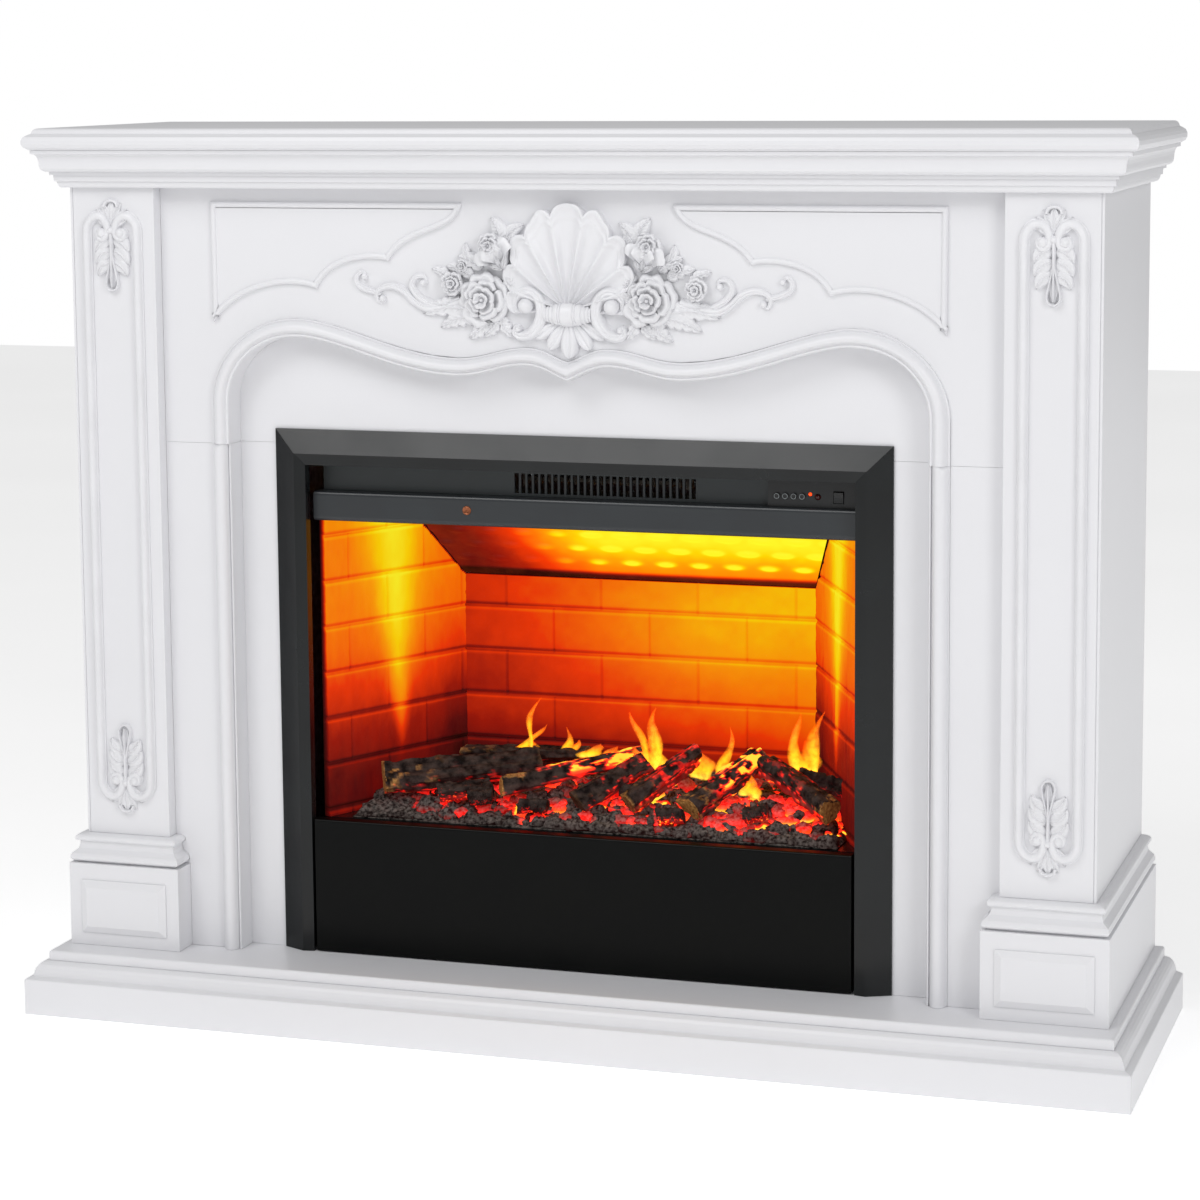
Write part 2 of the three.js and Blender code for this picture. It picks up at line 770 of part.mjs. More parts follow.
// A C-shaped scroll, open to the grille and below, with a back for the air to turn round.
function blowerHousing() {
  const section = drawn((p) => {
    p.moveTo(34, 740);
    p.lineTo(60, 757);
    p.lineTo(118, 757);
    p.quadraticCurveTo(128, 740, 124, 700);
    p.lineTo(121, 700);
    p.quadraticCurveTo(124, 740, 116, 754);
    p.lineTo(61, 754);
    p.lineTo(34, 737);
  }, 5);
  return prismX(section, -WHEEL_HALF - 6, WHEEL_HALF + 6);
}
add("blower_housing", blowerHousing(), galvanised());

function blowerWheel() {
  const count = 20;
  const end = 4;
  const blades = Array.from({ length: count }, (_, i) => {
    const blade = box(-WHEEL_HALF, WHEEL_HALF, -0.7, 0.7, WHEEL_R - 8, WHEEL_R - 1);
    return blade.rotateX((2 * Math.PI * i) / count).translate(0, WHEEL_Y, WHEEL_Z);
  });
  return join(
    rodX(WHEEL_R, -WHEEL_HALF, end - WHEEL_HALF, WHEEL_Y, WHEEL_Z, 24),
    rodX(WHEEL_R, WHEEL_HALF - end, WHEEL_HALF, WHEEL_Y, WHEEL_Z, 24),
    ...blades,
    rodX(3, -WHEEL_HALF - 5, WHEEL_HALF + 14, WHEEL_Y, WHEEL_Z, 12),
  );
}
add("blower_wheel", blowerWheel(), galvanised());

// The motor's can has a blind hole for the wheel's shaft.
const motorX = WHEEL_HALF + 10;
add(
  "blower_motor",
  cut(
    rodX(21, motorX, motorX + 44, WHEEL_Y, WHEEL_Z, 24),
    rodX(3.6, motorX - 5, motorX + 10, WHEEL_Y, WHEEL_Z, 16),
  ),
  galvanised(),
);

function heatingElement() {
  const fins = Array.from({ length: 18 }, (_, i) => {
    const x = -102 + 12 * i;
    return box(x - 1, x + 1, 30, 50, 706, 734);
  });
  return join(
    box(-112, 112, 34, 46, 709, 714),
    box(-112, 112, 34, 46, 725, 730),
    ...fins,
    box(-116, -110, 32, 48, 704, 736),
    box(110, 116, 32, 48, 704, 736),
  );
}
add("heating_element", heatingElement(), finish(0xc9a46a, 0.4, 0.8));

// ---------------------------------------------------------------- insert: drawer and mist unit

const APRON_FRONT = INNER_FRONT - 15;
const APRON_BACK = APRON_FRONT + 16;
const TRAY = { half: 330, back: 150, low: 92, high: 196, wall: 3 };
function serviceDrawer() {
  const { half, back, low, high, wall: t } = TRAY;
  const tray = cut(
    box(-half, half, APRON_BACK - 2, back, low, high),
    box(t - half, half - t, APRON_BACK + 2, back - t, low + t, high + 5),
  );
  const apron = prismX(
    drawn((p) => {
      p.moveTo(APRON_BACK, HEARTH + 2);
      p.lineTo(APRON_FRONT, HEARTH + 2);
      p.lineTo(APRON_FRONT, APRON_TOP - 3);
      p.quadraticCurveTo(APRON_FRONT, APRON_TOP, APRON_FRONT + 3, APRON_TOP);
      p.lineTo(APRON_BACK, APRON_TOP);
    }, 4),
    -APRON_HALF,
    APRON_HALF,
  );
  const ledge = box(-APRON_HALF, APRON_HALF, APRON_BACK - 2, BOX_FRONT, 243, 247);
  return join(apron, ledge, tray);
}
add("service_drawer", serviceDrawer(), blackPlastic());

const trayFloor = TRAY.low + TRAY.wall + GAP;
add(
  "water_tank",
  join(
    box(-315, -60, -70, MIST_BACK, trayFloor, 190),
    rodZ(17, 188, 200, -190, 30, 20),
  ),
  finish(0x9fb4c0, 0.15),
);

// The mist unit: a shallow basin with a raised slot along its middle for the mist.
function vapourUnit() {
  return cut(
    join(box(-50, 315, -70, MIST_BACK, trayFloor, 152), box(-30, 190, 30, 90, 150, 236)),
    box(-22, 182, 38, 82, 130, 240),
    rodZ(31, 128, 160, MIST_FAN_X, MIST_FAN_Y, 28),
  );
}
add("vapour_unit", vapourUnit(), blackPlastic());

// Small fan that pushes the mist up. It turns about a vertical axis in its well.
function vapourFan() {
  const blades = Array.from({ length: 7 }, (_, i) =>
    box(6, 26, -1, 1, 132, 146)
      .rotateZ((2 * Math.PI * i) / 7)
      .translate(MIST_FAN_X, MIST_FAN_Y, 0),
  );
  return join(rodZ(9, 130, 149, MIST_FAN_X, MIST_FAN_Y, 20), ...blades);
}
add("vapour_fan", vapourFan(), blackPlastic());

// ---------------------------------------------------------------- logs

function emberBed() {
  const bed = FLOOR_TOP + GAP;
  const base = [
    [-335, BOX_FRONT + 6],
    [335, BOX_FRONT + 6],
    [240, 160],
    [-240, 160],
  ];
  const mound = prismX(
    drawn((p) => {
      p.moveTo(BOX_FRONT + 6, bed);
      p.quadraticCurveTo(BOX_FRONT + 10, 276, 0, 296);
      p.quadraticCurveTo(80, 306, 160, 290);
      p.lineTo(160, bed);
    }, 4),
    -340,
    340,
  );
  const slot = box(-200, 200, 45, 75, bed - 5, 320);
  return cut(common(mound, prismZ(base, 200, 400)), slot);
}
add("log_bed", emberBed(), finish(0x2a2220, 0.95));

// A log lying from one point to another, as a tapered rod with flat ends.
function log(from, to, r0, r1) {
  const a = new THREE.Vector3(...from);
  const b = new THREE.Vector3(...to);
  const along = b.clone().sub(a);
  const turn = new THREE.Quaternion().setFromUnitVectors(Y, along.clone().normalize());
  const middle = a.add(b).multiplyScalar(0.5);
  return new THREE.CylinderGeometry(r1, r0, along.length(), 12)
    .applyQuaternion(turn)
    .translate(middle.x, middle.y, middle.z);
}
add("log_left", log([-300, 5, 328], [-20, 20, 345], 26, 24), finish(0x4a3426, 0.95));
add("log_right", log([25, 20, 342], [300, 5, 330], 24, 26), finish(0x4a3426, 0.95));

export default fireplace;
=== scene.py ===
"""Electric fireplace in a carved white surround: the looks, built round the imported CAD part.
Shapes are worked out in millimetres in the frame of the CAD part and put into the scene in metres.
X runs to the viewer's right, Y towards the wall and Z up."""

import math

import bpy
import numpy as np
from mathutils import Matrix, Vector


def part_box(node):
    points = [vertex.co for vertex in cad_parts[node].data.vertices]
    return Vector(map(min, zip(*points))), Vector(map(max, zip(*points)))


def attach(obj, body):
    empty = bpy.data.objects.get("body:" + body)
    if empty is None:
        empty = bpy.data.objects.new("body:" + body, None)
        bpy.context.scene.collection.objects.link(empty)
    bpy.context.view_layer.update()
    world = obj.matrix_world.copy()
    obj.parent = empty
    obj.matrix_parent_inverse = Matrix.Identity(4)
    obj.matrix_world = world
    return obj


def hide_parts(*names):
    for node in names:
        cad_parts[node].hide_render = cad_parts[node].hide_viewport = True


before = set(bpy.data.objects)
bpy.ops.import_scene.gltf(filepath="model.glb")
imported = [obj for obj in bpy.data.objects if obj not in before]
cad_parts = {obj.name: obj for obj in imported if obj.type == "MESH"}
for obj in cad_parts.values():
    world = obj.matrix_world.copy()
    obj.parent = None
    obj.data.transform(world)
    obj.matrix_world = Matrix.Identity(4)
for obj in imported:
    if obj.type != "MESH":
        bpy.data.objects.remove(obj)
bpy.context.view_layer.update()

MM = 0.001

# ---------------------------------------------------------------- levels taken from the CAD part


def corners(node):
    """Lowest and highest corner of a CAD node, in millimetres."""
    low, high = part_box(node)
    return np.array(low) / MM, np.array(high) / MM


FRIEZE_FACE = corners("frieze_board")[0][1]
PILLAR_FACE = corners("pillar_left")[0][1]
PILLAR_CENTRE = (corners("pillar_right")[0][0] + corners("pillar_right")[1][0]) / 2
JOINT = corners("arch_moulding")[0][2]
SINK = 0.5  # how far a carving's flat back is let into the board behind it
LET_IN = 0.3  # how far the arch and the raised panels start in front of the frieze

# ---------------------------------------------------------------- small geometry kit


def closed_pair(front, back):
    """Two grids of points of one size, joined round their rims into a closed body."""
    rows, columns = front.shape[:2]
    total = rows * columns
    index = np.arange(total).reshape(rows, columns)
    face = np.stack([index[:-1, :-1], index[:-1, 1:], index[1:, 1:], index[1:, :-1]], -1).reshape(-1, 4)
    rim = np.concatenate([index[0, :-1], index[:-1, -1], index[-1, :0:-1], index[:0:-1, 0]])
    after = np.roll(rim, -1)
    side = np.stack([after, rim, rim + total, after + total], -1)
    points = np.concatenate([front.reshape(-1, 3), back.reshape(-1, 3)])
    return outward(points, [np.concatenate([face, face[:, ::-1] + total, side])])


def flat_backed(front, level):
    """A grid of points closed behind by the same grid laid flat at one level along Y."""
    back = front.copy()
    back[..., 1] = level
    return closed_pair(front, back)


def tube_faces(rows, columns):
    """Faces of a tube of rings that close on themselves: its wall, and a flat face over each end."""
    index = np.arange(rows * columns).reshape(rows, columns)
    turned = np.roll(index, -1, axis=1)
    wall = np.stack([index[:-1], turned[:-1], turned[1:], index[1:]], -1).reshape(-1, 4)
    return [wall, np.stack([index[0, ::-1], index[-1]])]


def wrapped_tube(rings):
    """Rings of points one after another, each ring closed on itself, with a flat face over each end."""
    return outward(rings.reshape(-1, 3), tube_faces(*rings.shape[:2]))


def outward(points, faces):
    """Turns every face over when the body's signed volume is negative."""
    middle = points.mean(0)
    volume = 0.0
    for group in faces:
        corner = points[group] - middle
        for k in range(1, group.shape[1] - 1):
            volume += np.einsum("ij,ij->", corner[:, 0], np.cross(corner[:, k], corner[:, k + 1]))
    return points, faces if volume > 0 else [group[:, ::-1] for group in faces]


def gathered(bodies):
    """Several closed bodies as one set of points and faces."""
    points = np.concatenate([body[0] for body in bodies])
    start = np.cumsum([0] + [len(body[0]) for body in bodies])
    faces = [group + first for body, first in zip(bodies, start) for group in body[1]]
    return points, faces


def together(made, *keys):
    """Bodies that come with values at their points, as one body and one set of values for each key."""
    values = {key: np.concatenate([each[k] for each in made]) for k, key in enumerate(keys, 1)}
    return gathered([each[0] for each in made]), values


def front_only(values):
    """Values on the front grid of a closed pair, with zero all over its back."""
    return np.concatenate([values.ravel(), np.zeros(values.size)])


def piece(name, body, material, rides_on="surround", replaces=(), smooth=True, values=None):
    points, faces = body
    mesh = bpy.data.meshes.new(name)
    mesh.from_pydata((points * MM).tolist(), [], [row for group in faces for row in group.tolist()])
    mesh.polygons.foreach_set("use_smooth", np.full(len(mesh.polygons), smooth))
    for key, numbers in (values or {}).items():
        mesh.attributes.new(key, "FLOAT", "POINT").data.foreach_set("value", numbers.astype(np.float32))
    mesh.materials.append(material)
    made = bpy.data.objects.new(name, mesh)
    bpy.context.scene.collection.objects.link(made)
    if smooth:
        mesh.set_sharp_from_angle(angle=math.radians(48))
    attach(made, rides_on)
    if replaces:
        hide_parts(*replaces)
    return made


def smooth_line(points, steps=8):
    """Catmull-Rom curve through the given points: between two points it is the cubic that leaves and
    arrives along the chord of their neighbours."""
    p = np.asarray(points, float)
    p = np.concatenate([[2 * p[0] - p[1]], p, [2 * p[-1] - p[-2]]])
    t = (np.arange(steps) / steps)[None, :, None]
    a, b, c, d = (p[k : len(p) - 3 + k][:, None, :] for k in range(4))
    curve = 0.5 * (2 * b + (c - a) * t + (2 * a - 5 * b + 4 * c - d) * t**2 + (3 * b - a - 3 * c + d) * t**3)
    return np.concatenate([curve.reshape(-1, p.shape[1]), p[-2:-1]])


def even(line, count):
    """The same line with its points spread at equal distances."""
    along = np.concatenate([[0], np.cumsum(np.linalg.norm(np.diff(line, axis=0), axis=1))])
    at = np.linspace(0, along[-1], count)
    return np.stack([np.interp(at, along, line[:, k]) for k in range(line.shape[1])], -1)


def left_of(line):
    """Unit vectors square to a line in its plane, on its left."""
    tangent = np.gradient(line, axis=0)
    tangent /= np.linalg.norm(tangent, axis=1)[:, None] + 1e-9
    return np.stack([-tangent[:, 1], tangent[:, 0]], -1)


def mirrored(body):
    """The body reflected in the middle plane of the fireplace."""
    return outward(body[0] * [-1, 1, 1], body[1])


def relief(xz, out, face):
    """Points of a carving: a place on the board and a height that stands out from its face."""
    return np.stack([xz[..., 0], face - out, xz[..., 1]], -1)


# ---------------------------------------------------------------- materials


def linear(colour):
    """An sRGB hex colour as linear RGBA."""
    parts = np.array([int(colour[k : k + 2], 16) for k in (1, 3, 5)]) / 255
    parts = np.where(parts <= 0.04045, parts / 12.92, ((parts + 0.055) / 1.055) ** 2.4)
    return (*parts.tolist(), 1.0)


def put(tree, kind, sockets=None, **settings):
    """Adds a shader node; a socket is given a number, a colour or another node's output."""
    made = tree.nodes.new(kind)
    for key, value in settings.items():
        setattr(made, key, value)
    for key, value in (sockets or {}).items():
        if isinstance(value, bpy.types.NodeSocket):
            tree.links.new(value, made.inputs[key])
        else:
            made.inputs[key].default_value = value
    return made


def started(name):
    """An empty material with its output, its shader and the object's own coordinates."""
    material = bpy.data.materials.new(name)
    material.use_nodes = True
    tree = material.node_tree
    tree.nodes.clear()
    shader = put(tree, "ShaderNodeBsdfPrincipled")
    put(tree, "ShaderNodeOutputMaterial", {"Surface": shader.outputs[0]})
    place = put(tree, "ShaderNodeTexCoord").outputs["Object"]
    return material, tree, shader, place


def finish_of(name, dark, light, grain_mm, roughness, rough_swing, bump_mm, bump_grain_mm, **constant):
    """A finish whose colour and gloss drift between two values with a soft noise, over a fine bumpy skin."""
    material, tree, shader, place = started(name)
    drift = put(tree, "ShaderNodeTexNoise", {"Vector": place, "Scale": 1 / (grain_mm * MM), "Detail": 3.0})
    tint = put(tree, "ShaderNodeValToRGB", {"Fac": drift.outputs["Fac"]})
    tint.color_ramp.elements[0].position = 0.35
    tint.color_ramp.elements[0].color = linear(dark)
    tint.color_ramp.elements[1].position = 0.65
    tint.color_ramp.elements[1].color = linear(light)
    tree.links.new(tint.outputs[0], shader.inputs["Base Color"])
    gloss = put(tree, "ShaderNodeMapRange", {
        "Value": drift.outputs["Fac"], "From Min": 0.3, "From Max": 0.7,
        "To Min": roughness - rough_swing, "To Max": roughness + rough_swing})
    tree.links.new(gloss.outputs[0], shader.inputs["Roughness"])
    skin = put(tree, "ShaderNodeTexNoise", {"Vector": place, "Scale": 1 / (bump_grain_mm * MM),
                                            "Detail": 2.0})
    bump = put(tree, "ShaderNodeBump", {"Height": skin.outputs["Fac"], "Distance": bump_mm * MM,
                                        "Strength": 0.6})
    tree.links.new(bump.outputs[0], shader.inputs["Normal"])
    for key, value in constant.items():
        shader.inputs[key.replace("_", " ")].default_value = value
    return material


def shining(material, colour, strength):
    """Makes a finish shine with one colour."""
    shader = material.node_tree.nodes["Principled BSDF"]
    shader.inputs["Emission Color"].default_value = linear(colour)
    shader.inputs["Emission Strength"].default_value = strength


# Sprayed satin lacquer on fibreboard: bright and even, with a faint orange-peel skin in the highlights.
WHITE = finish_of("white_satin_lacquer", "#E1E1E4", "#E3E3E6", 320, 0.36, 0.015, 0.03, 3.0)
# The same lacquer over cast resin carvings, a little softer in gloss.
CARVED_WHITE = finish_of("white_lacquered_resin", "#E1E1E4", "#E5E5E8", 60, 0.36, 0.03, 0.05, 4.0)
# Charcoal powder coat on sheet steel: fine pebbled skin that catches a grey sheen at the edges.
BLACK_STEEL = finish_of("charcoal_powder_coat", "#0E1011", "#141718", 70, 0.24, 0.04, 0.03, 1.6,
                        Specular_IOR_Level=0.32)
# Satin black lacquer on the drawer front.
GLOSS_BLACK = finish_of("satin_black_lacquer", "#050606", "#080908", 90, 0.32, 0.04, 0.02, 2.5,
                        Specular_IOR_Level=0.10)
# Moulded black plastic of the controls and the vapour unit.
BLACK_PLASTIC = finish_of("moulded_black_plastic", "#131415", "#1B1C1D", 12, 0.45, 0.06, 0.06, 0.9)
# Bright zinc-coated sheet of the casing and blower, with cloudy spangle.
ZINC = finish_of("zinc_coated_sheet", "#8D9193", "#B4B8BA", 9, 0.38, 0.10, 0.02, 6.0, Metallic=1.0)
# Moulded button caps, as dark as the fascia.
BUTTON = finish_of("dark_button_plastic", "#161718", "#1C1E1F", 2, 0.36, 0.05, 0.01, 0.6)
# Copper-coloured badge disc.
COPPER = finish_of("copper_disc", "#7C4A34", "#A8684A", 2, 0.35, 0.06, 0.01, 0.8, Metallic=1.0)
# Green solder mask of the control board.
BOARD = finish_of("green_solder_mask", "#0E3B22", "#14512F", 5, 0.40, 0.08, 0.03, 1.2)
# Corrugated fins of the ceramic heater, dulled by heat.
HEATER = finish_of("heater_fins", "#3E3A36", "#57504A", 4, 0.48, 0.08, 0.05, 1.0, Metallic=0.8)
# Clear polycarbonate water tank.
TANK = finish_of("clear_polycarbonate", "#C9D6DA", "#DCE6E8", 40, 0.12, 0.03, 0.01, 8.0,
                 Transmission_Weight=0.85)
# Dark red receiver window.
RED_WINDOW = finish_of("dark_red_window", "#2A0605", "#3D0907", 4, 0.16, 0.03, 0.005, 2.0)
# Lit amber status lens.
AMBER = finish_of("lit_amber_lens", "#FF4A12", "#FF6A22", 3, 0.22, 0.03, 0.005, 2.0)
shining(AMBER, "#FF3A0C", 2.2)

SLOT_FINISH = {
    "white_enamel": WHITE,
    "cast_ornament": CARVED_WHITE,
    "black_steel": BLACK_STEEL,
    "zinc_steel": ZINC,
    "brick_liner": BLACK_STEEL,
    "black_plastic": BLACK_PLASTIC,
    "button_metal": BUTTON,
    "amber_lens": AMBER,
    "red_window": RED_WINDOW,
    "circuit_board": BOARD,
    "heater_brass": HEATER,
    "gloss_black": GLOSS_BLACK,
    "clear_tank": TANK,
    "ember_ash": BLACK_STEEL,
    "charred_log": BLACK_STEEL,
}
# The plates round the air slot and the hood over the fire are copies of the trim's charcoal coat painted
# lighter: painted light that lifts these plates in the shade of the trim.
SLOT_PLATE_PAINTED_LIGHT = finish_of("charcoal_coat_painted_light_slot", "#292E2F", "#2F3436", 60, 0.42, 0.05, 0.04, 1.6)
HOOD_PAINTED_LIGHT = finish_of("charcoal_coat_painted_light_hood", "#26292C", "#282C2F", 60, 0.34, 0.02, 0.01, 1.6)
PAINTED_LIGHT_FINISH = {"outlet_grille": SLOT_PLATE_PAINTED_LIGHT, "header_bar": HOOD_PAINTED_LIGHT}
for name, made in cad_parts.items():
    for place in made.material_slots:
        place.material = PAINTED_LIGHT_FINISH.get(name, SLOT_FINISH[place.material.name])

# ---------------------------------------------------------------- camera, floor and light


def camera_at(position, turn, tilt, roll, lens, shift_y):
    """A camera whose view is turned left from +Y, tilted up and rolled clockwise, in degrees."""
    turn, tilt, roll = np.radians([turn, tilt, roll])
    ahead = np.array([-math.sin(turn) * math.cos(tilt), math.cos(turn) * math.cos(tilt), math.sin(tilt)])
    right = np.array([math.cos(turn), math.sin(turn), 0])
    up = np.cross(right, ahead)
    right, up = math.cos(roll) * right + math.sin(roll) * up, math.cos(roll) * up - math.sin(roll) * right
    data = bpy.data.cameras.new("camera")
    data.sensor_width, data.lens, data.shift_y = 36, lens, shift_y
    made = bpy.data.objects.new("camera", data)
    bpy.context.scene.collection.objects.link(made)
    axes = np.eye(4)
    axes[:3, 0], axes[:3, 1], axes[:3, 2], axes[:3, 3] = right, up, -ahead, position
    made.matrix_world = Matrix(axes.tolist())
    bpy.context.scene.camera = made


camera_at((1.2925, -4.0161, 1.2697), 17.819, -7.461, -0.451, 97.4, -0.1)


def soft_light(name, position, aim, size, power):
    """A square soft box that faces a point."""
    data = bpy.data.lights.new(name, "AREA")
    data.size, data.energy = size, power
    made = bpy.data.objects.new(name, data)
    made.location = position
    made.rotation_euler = (Vector(aim) - Vector(position)).to_track_quat("-Z", "Y").to_euler()
    bpy.context.scene.collection.objects.link(made)


soft_light("key_light", (3.3, -3.1, 2.6), (0.2, 0, 0.6), 1.5, 50)
soft_light("top_light", (-1.1, -2.6, 3.5), (0, 0, 0.8), 1.9, 53)

world = bpy.data.worlds.new("studio")
world.use_nodes = True
sky = world.node_tree
seen = put(sky, "ShaderNodeLightPath").outputs["Is Camera Ray"]
strength = put(sky, "ShaderNodeMapRange", {"Value": seen, "To Min": 0.40, "To Max": 1.0})
backdrop = sky.nodes["Background"]
backdrop.inputs["Color"].default_value = linear("#FFFFFF")
sky.links.new(strength.outputs[0], backdrop.inputs["Strength"])
bpy.context.scene.world = world
bpy.context.scene.view_settings.view_transform = "Standard"

FLOOR_HALF, FLOOR_LEVEL = 9000, -0.5
floor_points = np.array([(-1, -1, 0), (1, -1, 0), (1, 1, 0), (-1, 1, 0)]) * FLOOR_HALF + [0, 0, FLOOR_LEVEL]
FLOOR = finish_of("pale_studio_floor", "#F4F4F4", "#F8F8F8", 900, 0.7, 0.05, 0.02, 30)
floor_mesh = bpy.data.meshes.new("floor")
floor_mesh.from_pydata((floor_points * MM).tolist(), [], [(0, 1, 2, 3)])
floor_mesh.materials.append(FLOOR)
floor = bpy.data.objects.new("floor", floor_mesh)
bpy.context.scene.collection.objects.link(floor)
# The floor is lit from beneath, as a studio's white table is.
shining(FLOOR, "#FFFFFF", 0.44)

# ---------------------------------------------------------------- arch, columns and raised panels


def bezier(ends, steps, last=False):
    """Points of a cubic curve given by its start, two handles and end."""
    p = np.asarray(ends, float)
    t = (np.arange(steps + last) / steps)[:, None]
    return (1 - t) ** 3 * p[0] + 3 * (1 - t) ** 2 * t * p[1] + 3 * (1 - t) * t**2 * p[2] + t**3 * p[3]


def arch_edge(knots):
    """One half of an edge of the arch, from the joint up the leg and along its cubic curves to the middle."""
    leg = np.stack([np.full(5, knots[0][0]), np.linspace(JOINT, knots[0][1], 6)[:-1]], -1)
    curves = [bezier(knots[k : k + 4], 18, last=k + 4 == len(knots)) for k in range(0, len(knots) - 3, 3)]
    half = np.concatenate([leg, *curves])
    return np.concatenate([half, half[-2::-1] * [-1, 1]])


ARCH_OUTER = arch_edge(np.array([
    (493, 822), (493, 880), (440, 933), (372, 933), (310, 933), (230, 886), (148, 886),
    (110, 886), (90, 901), (54, 901), (30, 901), (20, 890), (0, 884)]))
ARCH_INNER = arch_edge(np.array([
    (467, 822), (467, 868), (428, 909), (370, 909), (310, 909), (235, 863), (148, 863),
    (112, 863), (90, 878), (56, 878), (32, 878), (18, 866), (0, 859)]))
# Section from the outer edge to the inner: a fine fillet, a quirk, a broad round and an inner bead.
ARCH_SECTION = np.concatenate([
    [(0, -0.2), (0, 2.6), (0.02, 3.4), (0.09, 3.6), (0.12, 3.0), (0.14, 3.6)],
    smooth_line([(0.16, 4.8), (0.24, 8.6), (0.36, 11.6), (0.50, 12.9), (0.62, 12.3), (0.72, 10.2),
                 (0.78, 8.0)], 3),
    [(0.79, 7.1), (0.82, 7.0)],
    smooth_line([(0.83, 7.6), (0.88, 8.1), (0.94, 7.4), (0.98, 5.4), (1.0, 2.6)], 3),
    [(1.0, -28.0)],
])
ARCH_BACK = corners("arch_moulding")[1][1]


def arch_body():
    """The section stretched between the two edges of the arch at every step along it."""
    across, out = ARCH_SECTION.T
    xz = ARCH_OUTER[:, None, :] * (1 - across)[None, :, None] + ARCH_INNER[:, None, :] * across[None, :, None]
    return flat_backed(relief(xz, np.broadcast_to(out, xz.shape[:2]), FRIEZE_FACE - LET_IN), ARCH_BACK)


piece("arch_carved_moulding", arch_body(), WHITE, replaces=["arch_moulding"])


COLUMN_SHOULDER = 9.0


def column_body(side):
    """A rod along Z whose section is a half circle with a quirk and a fillet on the inner side; over the
    last few millimetres the outer shoulder is rounded down to the stile."""
    low, high = corners("column_right")
    middle, radius = (low[0] + high[0]) / 2, (high[0] - low[0]) / 2
    shoulder = high[2] - COLUMN_SHOULDER
    rounding = COLUMN_SHOULDER * np.sin(np.linspace(0.2, 1.5, 9))
    z = np.concatenate([np.linspace(low[2], shoulder, 12), shoulder + rounding])
    angle = np.linspace(math.pi, 0.02, 21)
    round_x = np.interp(-np.cos(angle), [-1, 1], [-0.9, 0.70])
    x = np.concatenate([[-1.0, -1.0, -0.93], round_x, [0.75, 0.78, 0.80, 0.92, 0.99, 1.0, 1.0]])
    out = np.concatenate([[-0.02, 0.05, 0.09], np.sin(angle), [0.10, 0.16, 0.32, 0.36, 0.30, 0.16, -2.2]])
    drop = np.clip((z - shoulder) / COLUMN_SHOULDER, 0, 1)[:, None]
    lost = drop**2 * np.clip(0.2 - x, 0, 1)[None, :] * 0.75
    height = radius * (out[None, :] * (1 - lost))
    across = middle - radius * x[None, :] + 0 * height
    front = np.stack([across * side, low[1] + radius - height, z[:, None] + 0 * height], -1)
    return flat_backed(front, high[1])


for side, hand in ((-1, "left"), (1, "right")):
    piece(f"turned_column_{hand}", column_body(side), WHITE, replaces=[f"column_{hand}"])


def panel_body():
    """The raised panel of the frieze: its outline, scalloped below and straight above, moved inwards step
    by step while the height follows a small rounded bead, a quirk and the flat field."""
    line = np.concatenate([
        bezier([(140, 1084), (150, 1040), (215, 1055), (241, 1009)], 26),
        bezier([(241, 1009), (262, 1016), (325, 1012), (341, 972)], 24),
        bezier([(341, 972), (375, 985), (450, 978), (488, 926)], 30),
        np.stack([np.linspace(488, 489, 24), np.linspace(926, 1084, 25)[:-1]], -1),
        np.stack([np.linspace(489, 140, 41)[:-1], np.full(40, 1084.0)], -1),
    ])
    inset = np.array([0, 0, 0.6, 1.8, 3.2, 4.8, 6.2, 7.2, 7.6, 8.2])
    height = np.array([0, 2.2, 3.6, 5.2, 5.9, 5.8, 4.9, 3.4, 2.6, 2.6])
    before, after = np.roll(line, 1, axis=0), np.roll(line, -1, axis=0)
    first = (line - before) / np.linalg.norm(line - before, axis=1)[:, None]
    second = (after - line) / np.linalg.norm(after - line, axis=1)[:, None]
    inward = np.stack([-(first + second)[:, 1], (first + second)[:, 0]], -1)
    inward /= (np.linalg.norm(inward, axis=1) * np.sqrt((1 + (first * second).sum(1)) / 2) + 1e-9)[:, None]
    face = FRIEZE_FACE - LET_IN
    rings = [relief(line + inward * step, np.full(len(line), out), face) for step, out in zip(inset, height)]
    base = rings[0] + [0, SINK + LET_IN, 0]
    return wrapped_tube(np.stack([base, *rings]))


PANEL = panel_body()
piece("raised_panel_right", PANEL, WHITE, replaces=["frieze_panel_right"])
piece("raised_panel_left", mirrored(PANEL), WHITE, replaces=["frieze_panel_left"])

# ---------------------------------------------------------------- carved crest

CREST_FACE = FRIEZE_FACE - 0.1
ARC = np.linspace(0, math.pi, 15)


def bead(line, half_width, height, face=CREST_FACE, section=None, lift=0.0):
    """A rounded rib along a line on the board: across the line it is a half ellipse, or the given section."""
    across, out = section if section is not None else (-np.cos(ARC), np.sin(ARC))
    wide = np.broadcast_to(half_width, len(line))[:, None]
    tall = np.broadcast_to(height, len(line))[:, None]
    xz = line[:, None, :] + left_of(line)[:, None, :] * (across[None, :] * wide)[..., None]
    return flat_backed(relief(xz, out[None, :] * tall + lift, face), face + SINK)


def ball(centre, radius, out, squash=1.0, face=CREST_FACE):
    """A dome on the board: rings of latitude from its foot to its crown."""
    latitude = np.linspace(-0.3, math.pi / 2 - 0.03, 10)[:, None]
    turn = np.linspace(0, 2 * math.pi, 25)[None, :-1]
    x = centre[0] + radius * np.cos(latitude) * np.cos(turn)
    z = centre[1] + radius * squash * np.cos(latitude) * np.sin(turn)
    y = out * (0.35 + 0.65 * np.sin(latitude)) + 0 * turn
    xz = np.stack([x, z], -1)
    return wrapped_tube(np.concatenate([relief(xz[:1], np.full((1, 24), -SINK), face), relief(xz, y, face)]))


